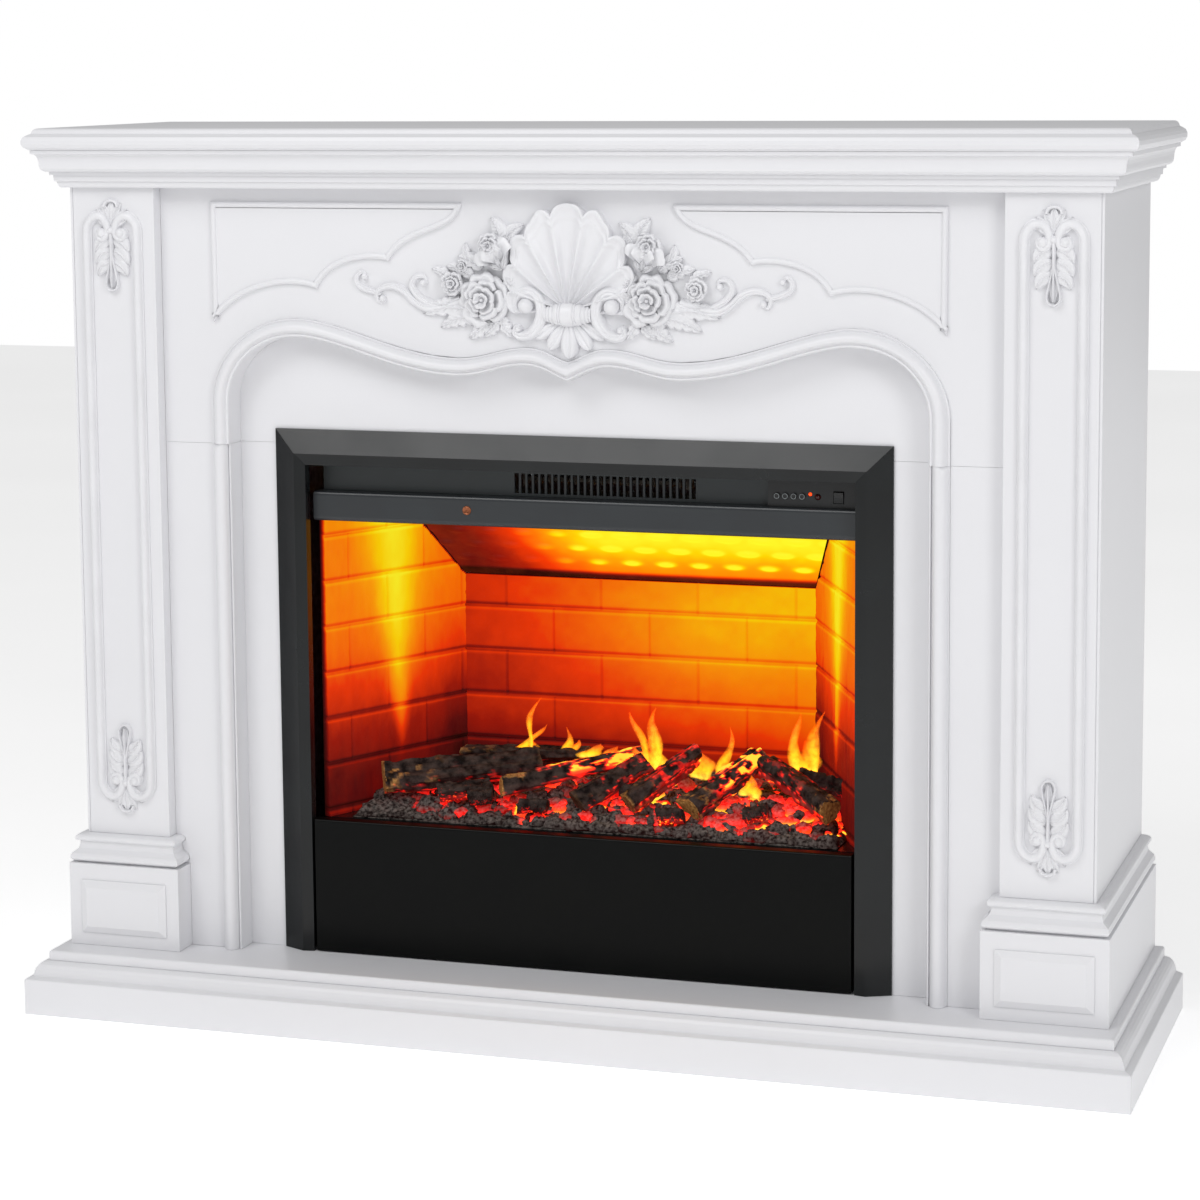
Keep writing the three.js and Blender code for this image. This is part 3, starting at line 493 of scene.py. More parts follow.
def leaf(root, tip, bend, half_width, height, lobes=0, face=CREST_FACE, lift=0.0, cup=0.35, rows=34):
    """A carved leaf: a curved midrib from root to tip, a width that swells and closes to a point with
    lobed edges, and a surface that falls from the raised midrib, dips and turns up at the rim."""
    root, tip = np.array(root, float), np.array(tip, float)
    along = np.linspace(0, 1, rows)
    reach = tip - root
    side = np.array([-reach[1], reach[0]])
    line = root + along[:, None] * reach + (np.sin(math.pi * along) * bend)[:, None] * side
    width = half_width * np.sin(math.pi * np.clip(along, 0, 1) ** 0.8) ** 0.75
    if lobes:
        width = width * (1 - 0.38 * (1 - np.abs(np.sin(lobes * math.pi * along + 0.3))) ** 1.4)
    width = width + 0.35 + 0.2 * half_width * (1 - along) ** 3
    c = np.linspace(-1, 1, 15)
    rise = np.sin(math.pi * np.clip(along, 0.02, 0.98)) ** 0.5
    rib = np.exp(-((c / 0.10) ** 2)) * 0.28
    bowl = (1 - c**2) ** 0.5 * (1 - cup) + cup * np.abs(c) ** 2 * (1 - np.abs(c) ** 8)
    wave = along[:, None] * (lobes or 5) * 1.6 - np.abs(c)[None, :] * 1.4
    veins = 0.07 * np.cos(2 * math.pi * wave) * (1 - c**2)
    out = height * (rise[:, None] * (bowl[None, :] * 0.8 + rib[None, :]) + veins) + lift + 0.6
    xz = line[:, None, :] + left_of(line)[:, None, :] * (c[None, :] * width[:, None])[..., None]
    return flat_backed(relief(xz, np.maximum(out, 0.3), face), face + SINK)


def petal(centre, angle, spread, inner, outer, low, high, curl, tilt=(0, 0), face=CREST_FACE):
    """One petal: it opens from an inner to an outer radius over an angle and rises from low to high, its
    middle cupped below its sides; the lip rolls back by curl and is notched like a real rose petal."""
    u = np.linspace(-1, 1, 17)[None, :]
    v = np.linspace(0, 1, 13)[:, None]
    fan = angle + spread * u * (0.50 + 0.50 * v**0.6)
    notch = 0.07 * np.exp(-(((u - 0.12) / 0.26) ** 2))
    edge = 1 - 0.20 * np.abs(u) ** 3 - notch + 0.03 * np.cos(u * 7 + angle)
    reach = inner + (outer * edge - inner) * v
    out = low + (high - low) * np.sin(v * math.pi / 2) ** 1.3 - curl * np.clip((v - 0.72) / 0.28, 0, 1) ** 2
    out = out + (high - low) * (0.10 * np.sin(u * 4 + angle * 3) * v**2 + 0.20 * u**2 * v)
    x, z = reach * np.cos(fan), reach * np.sin(fan)
    out = out + tilt[0] * x + tilt[1] * z
    front = relief(np.stack([centre[0] + x, centre[1] + z], -1), out, face)
    inward = np.stack([-np.cos(fan) * 0.6, 2.0 + 0 * fan, -np.sin(fan) * 0.6], -1)
    return closed_pair(front, front + inward)


# Rings of a rose from the outside in: petals, outer and inner reach, root and lip height, roll of the lip.
ROSE_RINGS = ((5, 1.00, 0.34, 0.16, 0.44, 0.26), (5, 0.76, 0.26, 0.34, 0.70, 0.24),
              (4, 0.52, 0.16, 0.50, 0.92, 0.20), (3, 0.29, 0.05, 0.74, 1.06, 0.10))


def rose(centre, size, rise, seed, tilt=(0, 0), face=CREST_FACE, rings=4):
    """An open rose: rings of petals that stand steeper and closer towards a wound bud, all on a low dome."""
    dice = np.random.default_rng(seed)
    turn = dice.uniform(0, 2)
    made = [ball(centre, size * 0.70, rise * 0.30, face=face)]
    grow = 1.0 if rings == len(ROSE_RINGS) else 1.28  # a smaller rose lacks the outer ring and opens wider
    for ring, (count, outer, inner, low, high, curl) in enumerate(ROSE_RINGS[-rings:]):
        for k in range(count):
            angle = turn + ring * 0.78 + 2 * math.pi * k / count + dice.uniform(-0.14, 0.14)
            reach = size * outer * grow * dice.uniform(0.90, 1.04)
            made.append(petal(centre, angle, math.pi / count * 1.06, size * inner, reach, rise * low,
                              rise * (high + 0.12 * (k % 2)), rise * curl, tilt, face))
    made.append(ball(centre, size * 0.10, rise * 1.02, face=face))
    return made


def bud(centre, radius, rise, lean, face=CREST_FACE):
    """A half-open rose seen from the side: big petals rise from the calyx and lap over each other below a
    wound mouth that is turned towards the lean angle."""
    mouth = np.array([math.cos(lean), math.sin(lean)])
    middle = np.array(centre, float)
    foot = middle - mouth * radius
    made = [ball(centre, radius * 0.86, rise * 0.70, 1.05, face)]
    made += rose(tuple(middle + mouth * radius * 0.34), radius * 0.80, rise * 0.98, int(radius * 10),
                 tilt=(-0.12 * mouth[0], -0.12 * mouth[1]), face=face, rings=3)
    for swing, reach, high in ((-0.62, 1.66, 0.78), (0.62, 1.62, 0.82), (0.05, 1.34, 1.02)):
        made.append(petal(tuple(foot), lean + swing * 0.62, 0.66, radius * 0.10, radius * reach, rise * 0.30,
                          rise * high, rise * 0.16, face=face))
    for swing in (-0.75, 0.0, 0.75):
        way = np.array([math.cos(lean + swing), math.sin(lean + swing)])
        made.append(leaf(foot - mouth * 2, foot + way * radius * 0.85, 0.1 * swing, 3.4, rise * 0.62,
                         face=face, lift=rise * 0.30, rows=20))
    return made


def shell_body(centre, first, last, flutes, dome, depth, root=0.05, lip=2.6):
    """A scallop fan: between two angles the surface spreads from its hub. Each flute is hollow across its
    width and ends in a rounded scallop; two fine lips run along the rim."""
    angle = np.linspace(first, last, flutes * 22 + 1)
    share = (angle - first) / (last - first) * flutes
    p = 2 * (share - np.floor(np.clip(share, 0, flutes - 1e-6))) - 1
    p[-1] = 1
    v = np.linspace(0, 1, 46)[:, None]
    reach = shell_reach(angle) * (1 - 0.085 * np.abs(p) ** 3.4)
    radius = reach[None, :] * (root + (1 - root) * v)
    arch = np.sin(math.pi * np.clip((angle - first) / (last - first), 0.0, 1.0)) ** 0.45
    body = dome * (0.62 + 0.38 * np.cos((v - 0.42) * 2.1)) * (0.55 + 0.45 * arch[None, :])
    trough = 0.5 + 0.5 * np.cos(math.pi * np.abs(p[None, :]) ** 1.9)
    hollow = depth * np.sin(math.pi * np.clip(v * 0.92 + 0.06, 0, 1)) ** 0.6 * trough
    rim = lip * np.exp(-(((v - 0.965) / 0.022) ** 2)) + 0.75 * lip * np.exp(-(((v - 0.875) / 0.020) ** 2))
    out = body - hollow + rim
    xz = np.stack([centre[0] + radius * np.cos(angle), centre[1] + radius * np.sin(angle)], -1)
    return flat_backed(relief(xz, np.maximum(out, 0.5), CREST_FACE), CREST_FACE + SINK)


def hub_body():
    """A ringed barrel lying across the foot of the shell: radius against length, turned round X, a little
    flattened and cut off where it meets the board."""
    x = np.linspace(-31, 31, 125)
    radius = 15.5 - 3.4 * (np.abs(x) / 20) ** 2.4
    radius = np.where(np.abs(x) > 21, 12.2 - 0.30 * (np.abs(x) - 21), radius)
    for at in (8.5, 11.5, 19.0, 24.0, 28.5):
        radius = radius - 1.5 * np.exp(-(((np.abs(x) - at) / 0.75) ** 2))
    turn = np.linspace(0, 2 * math.pi, 33)[None, :-1]
    ring = np.stack([x[:, None] + 0 * turn, CREST_FACE - 8 - radius[:, None] * 0.94 * np.cos(turn),
                     945 + radius[:, None] * np.sin(turn)], -1)
    ring[..., 1] = np.minimum(ring[..., 1], CREST_FACE + SINK)
    return wrapped_tube(ring)


def shell_reach(angle):
    """Distance from the hub to the rim: longest straight up, shorter to the sides."""
    lean = np.abs(angle - math.pi / 2)
    return np.interp(lean, [0, 0.30, 0.42, 0.72, 0.80, 1.10, 1.20, 1.62],
                     [136, 133, 122, 117, 106, 98, 90, 80])


def c_scroll(side):
    """One C-scroll beside the hub: it winds round a ball above and runs out into a smaller curl below."""
    line = smooth_line([(70, 950), (71, 962), (62, 972), (50, 973), (41, 966), (36, 953), (37, 940),
                        (43, 928), (53, 919), (64, 916), (72, 920), (71, 927), (66, 927)], 9)
    line = even(line, 96)
    along = np.linspace(0, 1, 96)
    width = np.interp(along, [0, 0.12, 0.4, 0.6, 0.85, 1], [3.0, 6.0, 8.4, 9.0, 6.6, 3.2])
    tall = np.interp(along, [0, 0.15, 0.5, 0.85, 1], [8, 13, 17, 13, 9])
    c = np.linspace(-1, 1, 17)
    section = (c, np.sqrt(np.maximum(1 - c**2, 0)) * (1 - 0.22 * np.exp(-(((c - 0.1) / 0.28) ** 2))))
    line = line * [side, 1]
    return [bead(line, width, tall, section=section), ball((57 * side, 955), 10.0, 20),
            ball((68 * side, 925), 4.4, 13)]


def tendril(points, widths, tall, side, drop):
    """A tapering stem through the given points, with a round drop at its end."""
    line = even(smooth_line(points, 10), 90) * [side, 1]
    along = np.linspace(0, 1, len(line))
    wide = np.interp(along, np.linspace(0, 1, len(widths)), widths)
    rib = np.linspace(-1, 1, 17)
    section = (rib, np.sqrt(np.maximum(1 - rib**2, 0)) * (1 - 0.20 * np.exp(-(((rib + 0.25) / 0.18) ** 2))))
    x, z, radius = drop
    return [bead(line, wide, np.minimum(wide * 1.5, tall), section=section),
            ball((x * side, z), radius, radius * 1.9)]


def lobe(root, tip, half_width, rise):
    """A drop of ornament: narrow at its root, widest near the tip and rounded over its end."""
    share = np.linspace(0, 1, 26)
    line = np.array(root, float) + share[:, None] * (np.array(tip, float) - np.array(root, float))
    swell = np.sqrt(np.maximum(np.sin(math.pi * (0.06 + 0.93 * share) ** 1.7), 0.02))
    c = np.linspace(-1, 1, 17)
    section = (c, np.sqrt(np.maximum(1 - c**2, 0)) * (1 - 0.35 * np.exp(-((c / 0.30) ** 2))))
    return bead(line, half_width * swell, rise * (0.55 + 0.45 * swell), section=section)


def pendant():
    """Five round-ended lobes that fan out under the hub, the middle one on top, and small leaves beside."""
    made = [lobe((10 * side, 938), (46 * side, 914), 9.0, 10) for side in (-1, 1)]
    made += [lobe((4 * side, 937), (27 * side, 900), 10.0, 12) for side in (-1, 1)]
    made += [leaf((24 * side, 932), (52 * side, 926), 0.10 * side, 6, 8, lift=1) for side in (-1, 1)]
    return made + [lobe((0, 938), (0, 889), 12.5, 15)]


# Leaves of the right side, each with its root, tip, bend, half width, height, lobes and lift.
CREST_LEAVES = (
    ((92, 1030), (108, 1066), 0.16, 11, 12, 0, 1), ((86, 1032), (65, 1060), -0.16, 9, 11, 0, 1),
    ((84, 1028), (77, 1050), 0.10, 7, 13, 0, 2), ((118, 1000), (150, 1017), 0.10, 9, 11, 3, 1),
    ((124, 1004), (139, 1034), -0.14, 8, 10, 3, 1), ((130, 990), (166, 1003), 0.12, 9, 10, 3, 1),
    ((120, 945), (198, 942), 0.10, 13, 11, 5, 1), ((118, 942), (174, 925), 0.08, 12, 11, 5, 1),
    ((110, 940), (136, 912), -0.10, 10, 11, 4, 1), ((96, 938), (116, 915), -0.10, 8, 10, 4, 1),
    ((90, 940), (74, 914), 0.10, 8, 10, 3, 1), ((150, 964), (186, 957), -0.14, 9, 11, 3, 1),
    ((158, 985), (186, 1000), 0.12, 7, 9, 3, 0.5), ((84, 996), (70, 978), 0.14, 8, 13, 3, 2),
)
LEFT_TIPS = ((105, 1066), (60, 1057))  # the first two leaves end elsewhere on the left
# Tendrils of the right side, each with its line, its widths, its height and the drop at its end.
CREST_TENDRILS = (
    ([(146, 961), (170, 953), (193, 950), (210, 958), (223, 970), (239, 977), (254, 975), (262, 967),
      (259, 957), (253, 959)], [6.5, 7.5, 7, 5.5, 5, 5, 4.6, 3.6, 2.6], 9, (253, 961, 4.4)),
    ([(256, 966), (266, 969), (278, 973), (287, 978), (290, 987), (284, 994), (277, 991)],
     [2.2, 3.6, 4.4, 4.4, 4.2, 3.4, 2.2], 8, (278, 989, 4.0)),
    ([(178, 952), (196, 959), (209, 970), (213, 981), (206, 990), (196, 989), (193, 981)],
     [4, 5, 5.4, 5, 4.4, 3.4, 2.2], 8, (197, 982, 4.4)),
)


def crest_side(side):
    """Flowers, leaves and tendrils of one side of the crest; the two sides differ a little, as carved."""
    left = side < 0
    made = []
    for k, (root, tip, bend, half_width, height, lobes, lift) in enumerate(CREST_LEAVES):
        if left and k < len(LEFT_TIPS):
            tip = LEFT_TIPS[k]
        made.append(leaf((root[0] * side, root[1]), (tip[0] * side, tip[1]), bend * side, half_width, height,
                         lobes, lift=lift))
    made += rose((-112, 962) if left else (107, 964), 38, 26, 11 + left)
    made += bud((-99, 1024) if left else (105, 1024), 23, 25, math.pi - 1.1 if left else 1.25)
    made += rose((-155, 982) if left else (168, 978), 17, 19, 5 + left, rings=3)
    made += rose((143 * side, 1004), 10, 13, 8 + left, rings=3)
    for line, widths, tall, drop in CREST_TENDRILS:
        made += tendril(line, widths, tall, side, drop)
    return made + c_scroll(side)


CREST_SHIFT = 4.0  # the carving sits a little to the right of the middle
CREST_PARTS = {
    "carved_shell": [shell_body((0, 949), math.radians(-3), math.radians(183), 9, 17.5, 9.5), hub_body()]
    + pendant(),
    "rose_spray_left": crest_side(-1),
    "rose_spray_right": crest_side(1),
}
for name, bodies in CREST_PARTS.items():
    points, faces = gathered(bodies)
    piece(name, (points + [CREST_SHIFT, 0, 0], faces), CARVED_WHITE,
          replaces=["carved_crest"])

# ---------------------------------------------------------------- pillar ornaments

ORNAMENT_FACE = PILLAR_FACE - 0.1
ORNAMENT_TURN = 1352.0  # level of the top plus level of the bottom: the foot is the head turned over
# Section of the loop: a fine fillet on both sides of a half round.
RIB = np.linspace(-0.80, 0.80, 13)
LOOP_SECTION = (
    np.concatenate([[-1.0, -1.0, -0.86], RIB, [0.86, 1.0, 1.0]]),
    np.concatenate([[0.0, 0.22, 0.26], 0.24 + 0.76 * np.sqrt(1 - (RIB / 0.82) ** 2), [0.26, 0.22, 0.0]]),
)
# Half of the loop's head, from the straight bar over the shoulder and in to the curl.
HEAD_HALF = [(36.2, 1020), (36.2, 1044), (34.0, 1054), (27.5, 1062.5), (18.5, 1065), (10.5, 1061),
             (6.0, 1052), (5.6, 1043), (9.5, 1036), (15.5, 1035), (19.5, 1040), (18.5, 1046), (14.5, 1048)]


def ornament_head(face):
    """Fan, balls and hanging leaf with three pairs of leaflets at the head of a loop, about the middle."""
    made = []
    for angle, long, wide in ((90, 33, 8.0), (66, 33, 6.0), (114, 33, 6.0),
                              (44, 31, 5.6), (136, 31, 5.6), (24, 26, 5.0), (156, 26, 5.0)):
        a = math.radians(angle)
        tip = np.array([math.cos(a) * long, 1052 + math.sin(a) * long])
        made.append(leaf((0, 1049), tip, 0.05 * np.sign(90 - angle), wide, 7.5, face=face, lift=0.8,
                         cup=0.5, rows=22))
    crown = even(smooth_line([(-10, 1077), (-7, 1083), (0, 1085.5), (7, 1083), (10, 1077)], 6), 22)
    made.append(bead(crown, 2.4, 7.5, face))
    made.append(ball((0, 1046), 5.0, 11, face=face))
    for side in (-1, 1):
        made.append(ball((13.4 * side, 1042.5), 6.8, 11.5, face=face))
        for root, tip, wide in (((2, 1034), (23.5, 1017), 9.6), ((2, 1019), (23, 1001), 9.6),
                                ((2, 1004), (21, 986), 8.6)):
            made.append(leaf((root[0] * side, root[1]), (tip[0] * side, tip[1]), 0.16 * side, wide, 8.0,
                             face=face, lift=0.8, cup=0.3, rows=24))
    drop = even(smooth_line([(0, 1016), (3.4, 1000), (7.2, 984), (8.0, 975), (4.6, 969), (0, 967.5),
                             (-4.6, 969), (-8.0, 975), (-7.2, 984), (-3.4, 1000), (0, 1016)], 8), 90)
    made.append(leaf((0, 1018), (0, 968), 0.0, 7.0, 5.0, face=face, lift=0.5, cup=0.6, rows=24))
    made.append(bead(drop, 1.7, 7.5, face))
    stem = np.stack([np.zeros(30), np.linspace(1042, 972, 30)], -1)
    width = np.interp(np.linspace(0, 1, 30), [0, 0.2, 0.8, 1], [3.2, 2.4, 1.7, 1.2])
    made.append(bead(stem, width, 9.0, face))
    return made


def ornament_body(side):
    """The loop of the pillar, wound in at head and foot, with a carved head and the same head turned over."""
    head = smooth_line(HEAD_HALF, 7)
    foot = head[::-1] * [1, -1] + [0, ORNAMENT_TURN]
    bar = np.stack([np.full(24, 36.2), np.linspace(foot[-1][1], head[0][1], 26)[1:-1]], -1)
    line = np.concatenate([foot, bar, head])
    share = np.minimum(np.arange(len(line)), np.arange(len(line))[::-1])
    width = np.interp(share, [0, 14, 40], [2.4, 4.4, 6.8])
    tall = np.interp(share, [0, 20, 44], [6.5, 8.5, 8.8])
    loops = [bead(line * [hand, 1], width, tall, ORNAMENT_FACE, LOOP_SECTION) for hand in (-1, 1)]
    top = ornament_head(ORNAMENT_FACE)
    low = [outward(points * [1, 1, -1] + [0, 0, ORNAMENT_TURN], faces) for points, faces in top]
    points, faces = gathered(loops + top + low)
    return points + [side * PILLAR_CENTRE, 0, 0], faces


for side, hand in ((-1, "left"), (1, "right")):
    piece(f"pillar_carving_{hand}", ornament_body(side), CARVED_WHITE,
          replaces=[f"pillar_ornament_{hand}"])

# ---------------------------------------------------------------- firebox finishes


def grain(rows, columns, cells, seed, octaves=3, full_turn=False):
    """Smooth noise between about -1 and 1: random values on a coarse lattice joined by smoothstep, with
    finer and fainter lattices on top. With full_turn the last column meets the first."""
    total = np.zeros((rows, columns))
    for k in range(octaves):
        high, wide = int(cells[0] * 2**k), int(cells[1] * 2**k)
        lattice = np.random.default_rng(seed + 31 * k).uniform(-1, 1, (high + 1, wide + 1))
        if full_turn:
            lattice[:, -1] = lattice[:, 0]
        r = np.linspace(0, high - 1e-6, rows)
        c = np.linspace(0, wide - 1e-6, columns, endpoint=not full_turn)
        i, j = r.astype(int), c.astype(int)
        r, c = (r - i)[:, None], (c - j)[None, :]
        r, c = r * r * (3 - 2 * r), c * c * (3 - 2 * c)
        near = lattice[i][:, j] * (1 - c) + lattice[i][:, j + 1] * c
        far = lattice[i + 1][:, j] * (1 - c) + lattice[i + 1][:, j + 1] * c
        total += (near * (1 - r) + far * r) * 0.55**k
    return total


def ramp(tree, factor, stops):
    """A colour ramp from (position, hex colour) stops."""
    made = put(tree, "ShaderNodeValToRGB", {"Fac": factor})
    for k, (position, colour) in enumerate(stops):
        stop = made.color_ramp.elements[k] if k < 2 else made.color_ramp.elements.new(position)
        stop.position, stop.color = position, linear(colour)
    return made.outputs[0]


def carried(tree, key):
    """A value that the piece itself carries at each of its points."""
    return put(tree, "ShaderNodeAttribute", attribute_name=key).outputs["Fac"]


def overlaid(material, key, colour):
    """Lays a second colour over a finish's own, as strongly as the value the piece carries."""
    tree = material.node_tree
    base = tree.nodes["Principled BSDF"].inputs["Base Color"]
    sockets = {"Factor": carried(tree, key), 6: base.links[0].from_socket, 7: colour}
    mixed = put(tree, "ShaderNodeMix", data_type="RGBA", sockets=sockets)
    tree.links.new(mixed.outputs[2], base)
    return material


def glowing(name, dark, light, grain_mm, roughness, heat_stops, strength, bump_mm, bump_grain_mm, key="glow"):
    """A finish that also shines: a value that the piece carries runs through a ramp of heat colours."""
    made = finish_of(name, dark, light, grain_mm, roughness, 0.05, bump_mm, bump_grain_mm,
                     Specular_IOR_Level=0.12)
    tree = made.node_tree
    shader = tree.nodes["Principled BSDF"]
    tree.links.new(ramp(tree, carried(tree, key), heat_stops), shader.inputs["Emission Color"])
    shader.inputs["Emission Strength"].default_value = strength
    return made


# Colours of the lamps' light on the lining and the reflector, from unlit to brightest.
FLAME_LIGHT = ((0.0, "#0C0202"), (1.0, "#FFF024"), (0.18, "#500608"), (0.34, "#981404"), (0.50, "#EE3600"),
               (0.64, "#FC7200"), (0.78, "#FFA200"), (0.90, "#FFD200"))
# Moulded brick-effect lining, washed by the flame lamps from above: deep red low down, yellow above.
BRICK_LIT = glowing("brick_lining_in_flame_light", "#210B06", "#38140A", 18, 0.85, FLAME_LIGHT, 0.90, 0.8,
                    2.2)
# Hammered reflector over the fire: dimples catch the lamp as bright ovals.
REFLECTOR_LIT = glowing("dimpled_reflector_in_flame_light", "#2A120A", "#4A2210", 25, 0.35, FLAME_LIGHT,
                        1.05, 0.05, 4.0)
# Heat colours of embers and of the cracks in the logs, from cold to hottest.
EMBER_HEAT = ((0.0, "#000000"), (1.0, "#FFC832"), (0.22, "#1A0202"), (0.42, "#8E0806"), (0.62, "#F4160C"),
              (0.84, "#FF4A14"))
# Ash and embers: grey-black crumbs with pale flecks, and lumps that glow red from inside.
EMBERS = glowing("ash_and_embers", "#181514", "#746C67", 5, 0.9, EMBER_HEAT, 1.5, 1.2, 2.0, "ember")


def log_finish():
    """Charred wood: black cracked bark with grey ash, pale ochre wood on the cut ends, heat in the cracks."""
    made = glowing("charred_split_log", "#0D0A09", "#453A36", 12, 0.85, EMBER_HEAT, 1.3, 1.4, 2.4, "ember")
    tree = made.node_tree
    place = tree.nodes["Texture Coordinate"].outputs["Object"]
    rings = put(tree, "ShaderNodeTexNoise", {"Vector": place, "Scale": 1 / (4 * MM), "Detail": 3.0})
    return overlaid(made, "cut", ramp(tree, rings.outputs["Fac"], ((0.3, "#7A4A22"), (0.7, "#D09A58"))))


LOG_FINISH = log_finish()


def flame_finish():
    """Thin luminous flame: pale yellow at the root, orange towards the tip, fading out at the edges."""
    material, tree, shader, place = started("vapour_flame")
    shader.inputs["Base Color"].default_value = linear("#FF7A10")
    shader.inputs["Roughness"].default_value = 0.6
    shader.inputs["Emission Strength"].default_value = 1.5
    stops = ((0.0, "#FFE14A"), (1.0, "#E84A08"), (0.35, "#FFC21C"), (0.7, "#FF8410"))
    tree.links.new(ramp(tree, carried(tree, "height"), stops), shader.inputs["Emission Color"])
    body = carried(tree, "body")
    wisp = put(tree, "ShaderNodeTexNoise", {"Vector": place, "Scale": 1 / (9 * MM), "Detail": 2.0})
    torn = put(tree, "ShaderNodeMapRange", {
        "Value": wisp.outputs["Fac"], "From Min": 0.32, "From Max": 0.62, "To Min": 0.35})
    shown = put(tree, "ShaderNodeMath", {0: body, 1: torn.outputs[0]}, operation="MULTIPLY")
    tree.links.new(shown.outputs[0], shader.inputs["Alpha"])
    return material


FLAME = flame_finish()

# ---------------------------------------------------------------- brick walls and reflector

COURSE = 62.0  # height of a course of bricks with its joint
FIRST_JOINT = 327.0
BRICK_LONG = 138.0
JOINT_WIDE = 3.6


def brick_surface(u, z, seed, offset):
    """Height of the brick face and its joints: the distance to the nearest joint decides how deep a point
    lies, each brick sits a little in or out, and a coarse grain covers it. Also gives painted light for the
    lining's glow: painted shade along the foot of each brick and in the bed joints, a painted highlight along
    each brick's top edge, darker head joints, bricks that stand out painted a little lighter, and a faint
    random tone."""
    course = np.floor((z - FIRST_JOINT) / COURSE)
    in_course = (z - FIRST_JOINT) - course * COURSE
    shifted = u + offset + (course % 2) * BRICK_LONG / 2
    number = np.floor(shifted / BRICK_LONG)
    in_brick = shifted - number * BRICK_LONG
    bed = np.minimum(in_course, COURSE - in_course)
    head = np.minimum(in_brick, BRICK_LONG - in_brick)
    wander = grain(*u.shape, (9, 16), seed, 3)
    edge = np.minimum(bed, head) + wander * 0.9
    depth = 2.4 * (1 - np.clip((edge - JOINT_WIDE / 2 + 1) / 2.4, 0, 1) ** 0.8)
    sits = np.sin(number * 12.9 + course * 78.2) * 0.7
    rough = grain(*u.shape, (40, 70), seed + 5, 3) * 0.45
    pits = -0.9 * np.clip(grain(*u.shape, (60, 100), seed + 9, 2) - 0.85, 0, 1) * 3
    # Painted shade and highlight, as if lit from above: dark along the foot of each brick and in the bed
    # joint, light along each brick's top edge.
    shade = -0.16 * np.exp(-(((in_course - 3.2) / 2.0) ** 2))
    shade -= 0.12 * np.exp(-(((COURSE - in_course) / 1.6) ** 2))
    shade += 0.09 * np.exp(-(((COURSE - in_course - 4.0) / 1.6) ** 2)) - 0.07 * np.exp(-((head / 1.5) ** 2))
    return sits + rough + pits - depth, shade + 0.016 * grain(*u.shape, (14, 22), seed + 2, 3) + 0.03 * sits


def wall_body(start, end, low, high, thick, seed, offset, glow_of, step=2.0):
    """A brick wall between two plan points: a grid along it and up it, moved out by the brick surface."""
    start, end = np.array(start, float), np.array(end, float)
    length = np.linalg.norm(end - start)
    columns, rows = int(length / step) + 1, int((high - low) / step) + 1
    u, z = np.meshgrid(np.linspace(0, length, columns), np.linspace(low, high, rows))
    rise, shade = brick_surface(u, z, seed, offset)
    way = (end - start) / length
    inward = np.array([-way[1], way[0]])
    plan = start + way * u[..., None] + inward * (rise - 0.4)[..., None]
    front = np.concatenate([plan, z[..., None]], -1)
    back = np.concatenate([start + way * u[..., None] - inward * thick, z[..., None]], -1)
    glow = np.clip(glow_of(u / length, (z - low) / (high - low)) + shade, 0.0, 1.0)
    return closed_pair(front, back), front_only(glow)


def smooth(edge0, edge1, x):
    """Smoothstep from 0 at one edge to 1 at the other."""
    t = np.clip((x - edge0) / (edge1 - edge0), 0, 1)
    return t * t * (3 - 2 * t)


# The reflector leaves the top of a side wall this far along it and meets the back wall at this height.
U_RIDGE, V_RIDGE = 0.49, 0.69


def side_glow(u, v):
    """Light on a side wall: a lamp at the top throws a cone that narrows downwards; red and dim below."""
    wash = 0.20 + 0.40 * smooth(0.06, 0.62, v) + 0.10 * v
    near = np.exp(-(((u - 0.47 - 0.06 * (1 - v)) / (0.020 + 0.27 * np.clip(v - 0.14, 0, 1) ** 1.15)) ** 2))
    fall = smooth(0.10, 0.34, v)
    behind = -0.17 * smooth(0.62, 1.0, u) * (1 - v)
    above = (u - U_RIDGE) * (1 - V_RIDGE) / (1 - U_RIDGE) - (1 - v) > 0
    return np.where(above, 0.0, wash + behind + 0.30 * near * fall)


def back_glow(u, v):
    """Light on the back wall: brightest high on the right, dark red low on the left and behind the logs."""
    wash = 0.34 + 0.24 * u + 0.20 * smooth(0.25, 1.0, v) * (0.45 + 0.8 * u)
    pool = 0.14 * np.exp(-(((u - 0.68) / 0.30) ** 2 + ((v - 0.74) / 0.26) ** 2))
    dusk = -0.25 * (1 - smooth(0.04, 0.42, v))
    return wash + pool + dusk


# Plan of the lining: the front and back ends of a side wall, and half the back wall with its distance.
SIDE_FRONT, SIDE_BACK = (364.0, -60.0), (250.0, 169.7)
BACK_HALF, BACK_AT = 252, 169.9
# Each wall with its start and end in plan, its thickness, seed, offset of the bond and light.
WALLS = {
    "back": ((BACK_HALF, BACK_AT), (-BACK_HALF, BACK_AT), 11.5, 4, 40.0, lambda u, v: back_glow(1 - u, v)),
    "left": ((-SIDE_BACK[0], SIDE_BACK[1]), (-SIDE_FRONT[0], SIDE_FRONT[1]), 11.0, 14, 62.0,
             lambda u, v: side_glow(1 - u, v)),
    "right": (SIDE_FRONT, SIDE_BACK, 11.0, 24, 62.0, side_glow),
}
for name, (start, end, thick, seed, offset, light) in WALLS.items():
    low, high = corners(f"brick_{name}")
    wall, glow = wall_body(start, end, low[2], high[2], thick, seed, offset, light)
    piece(f"brick_wall_{name}", wall, BRICK_LIT, replaces=[f"brick_{name}"],
          values={"glow": glow})


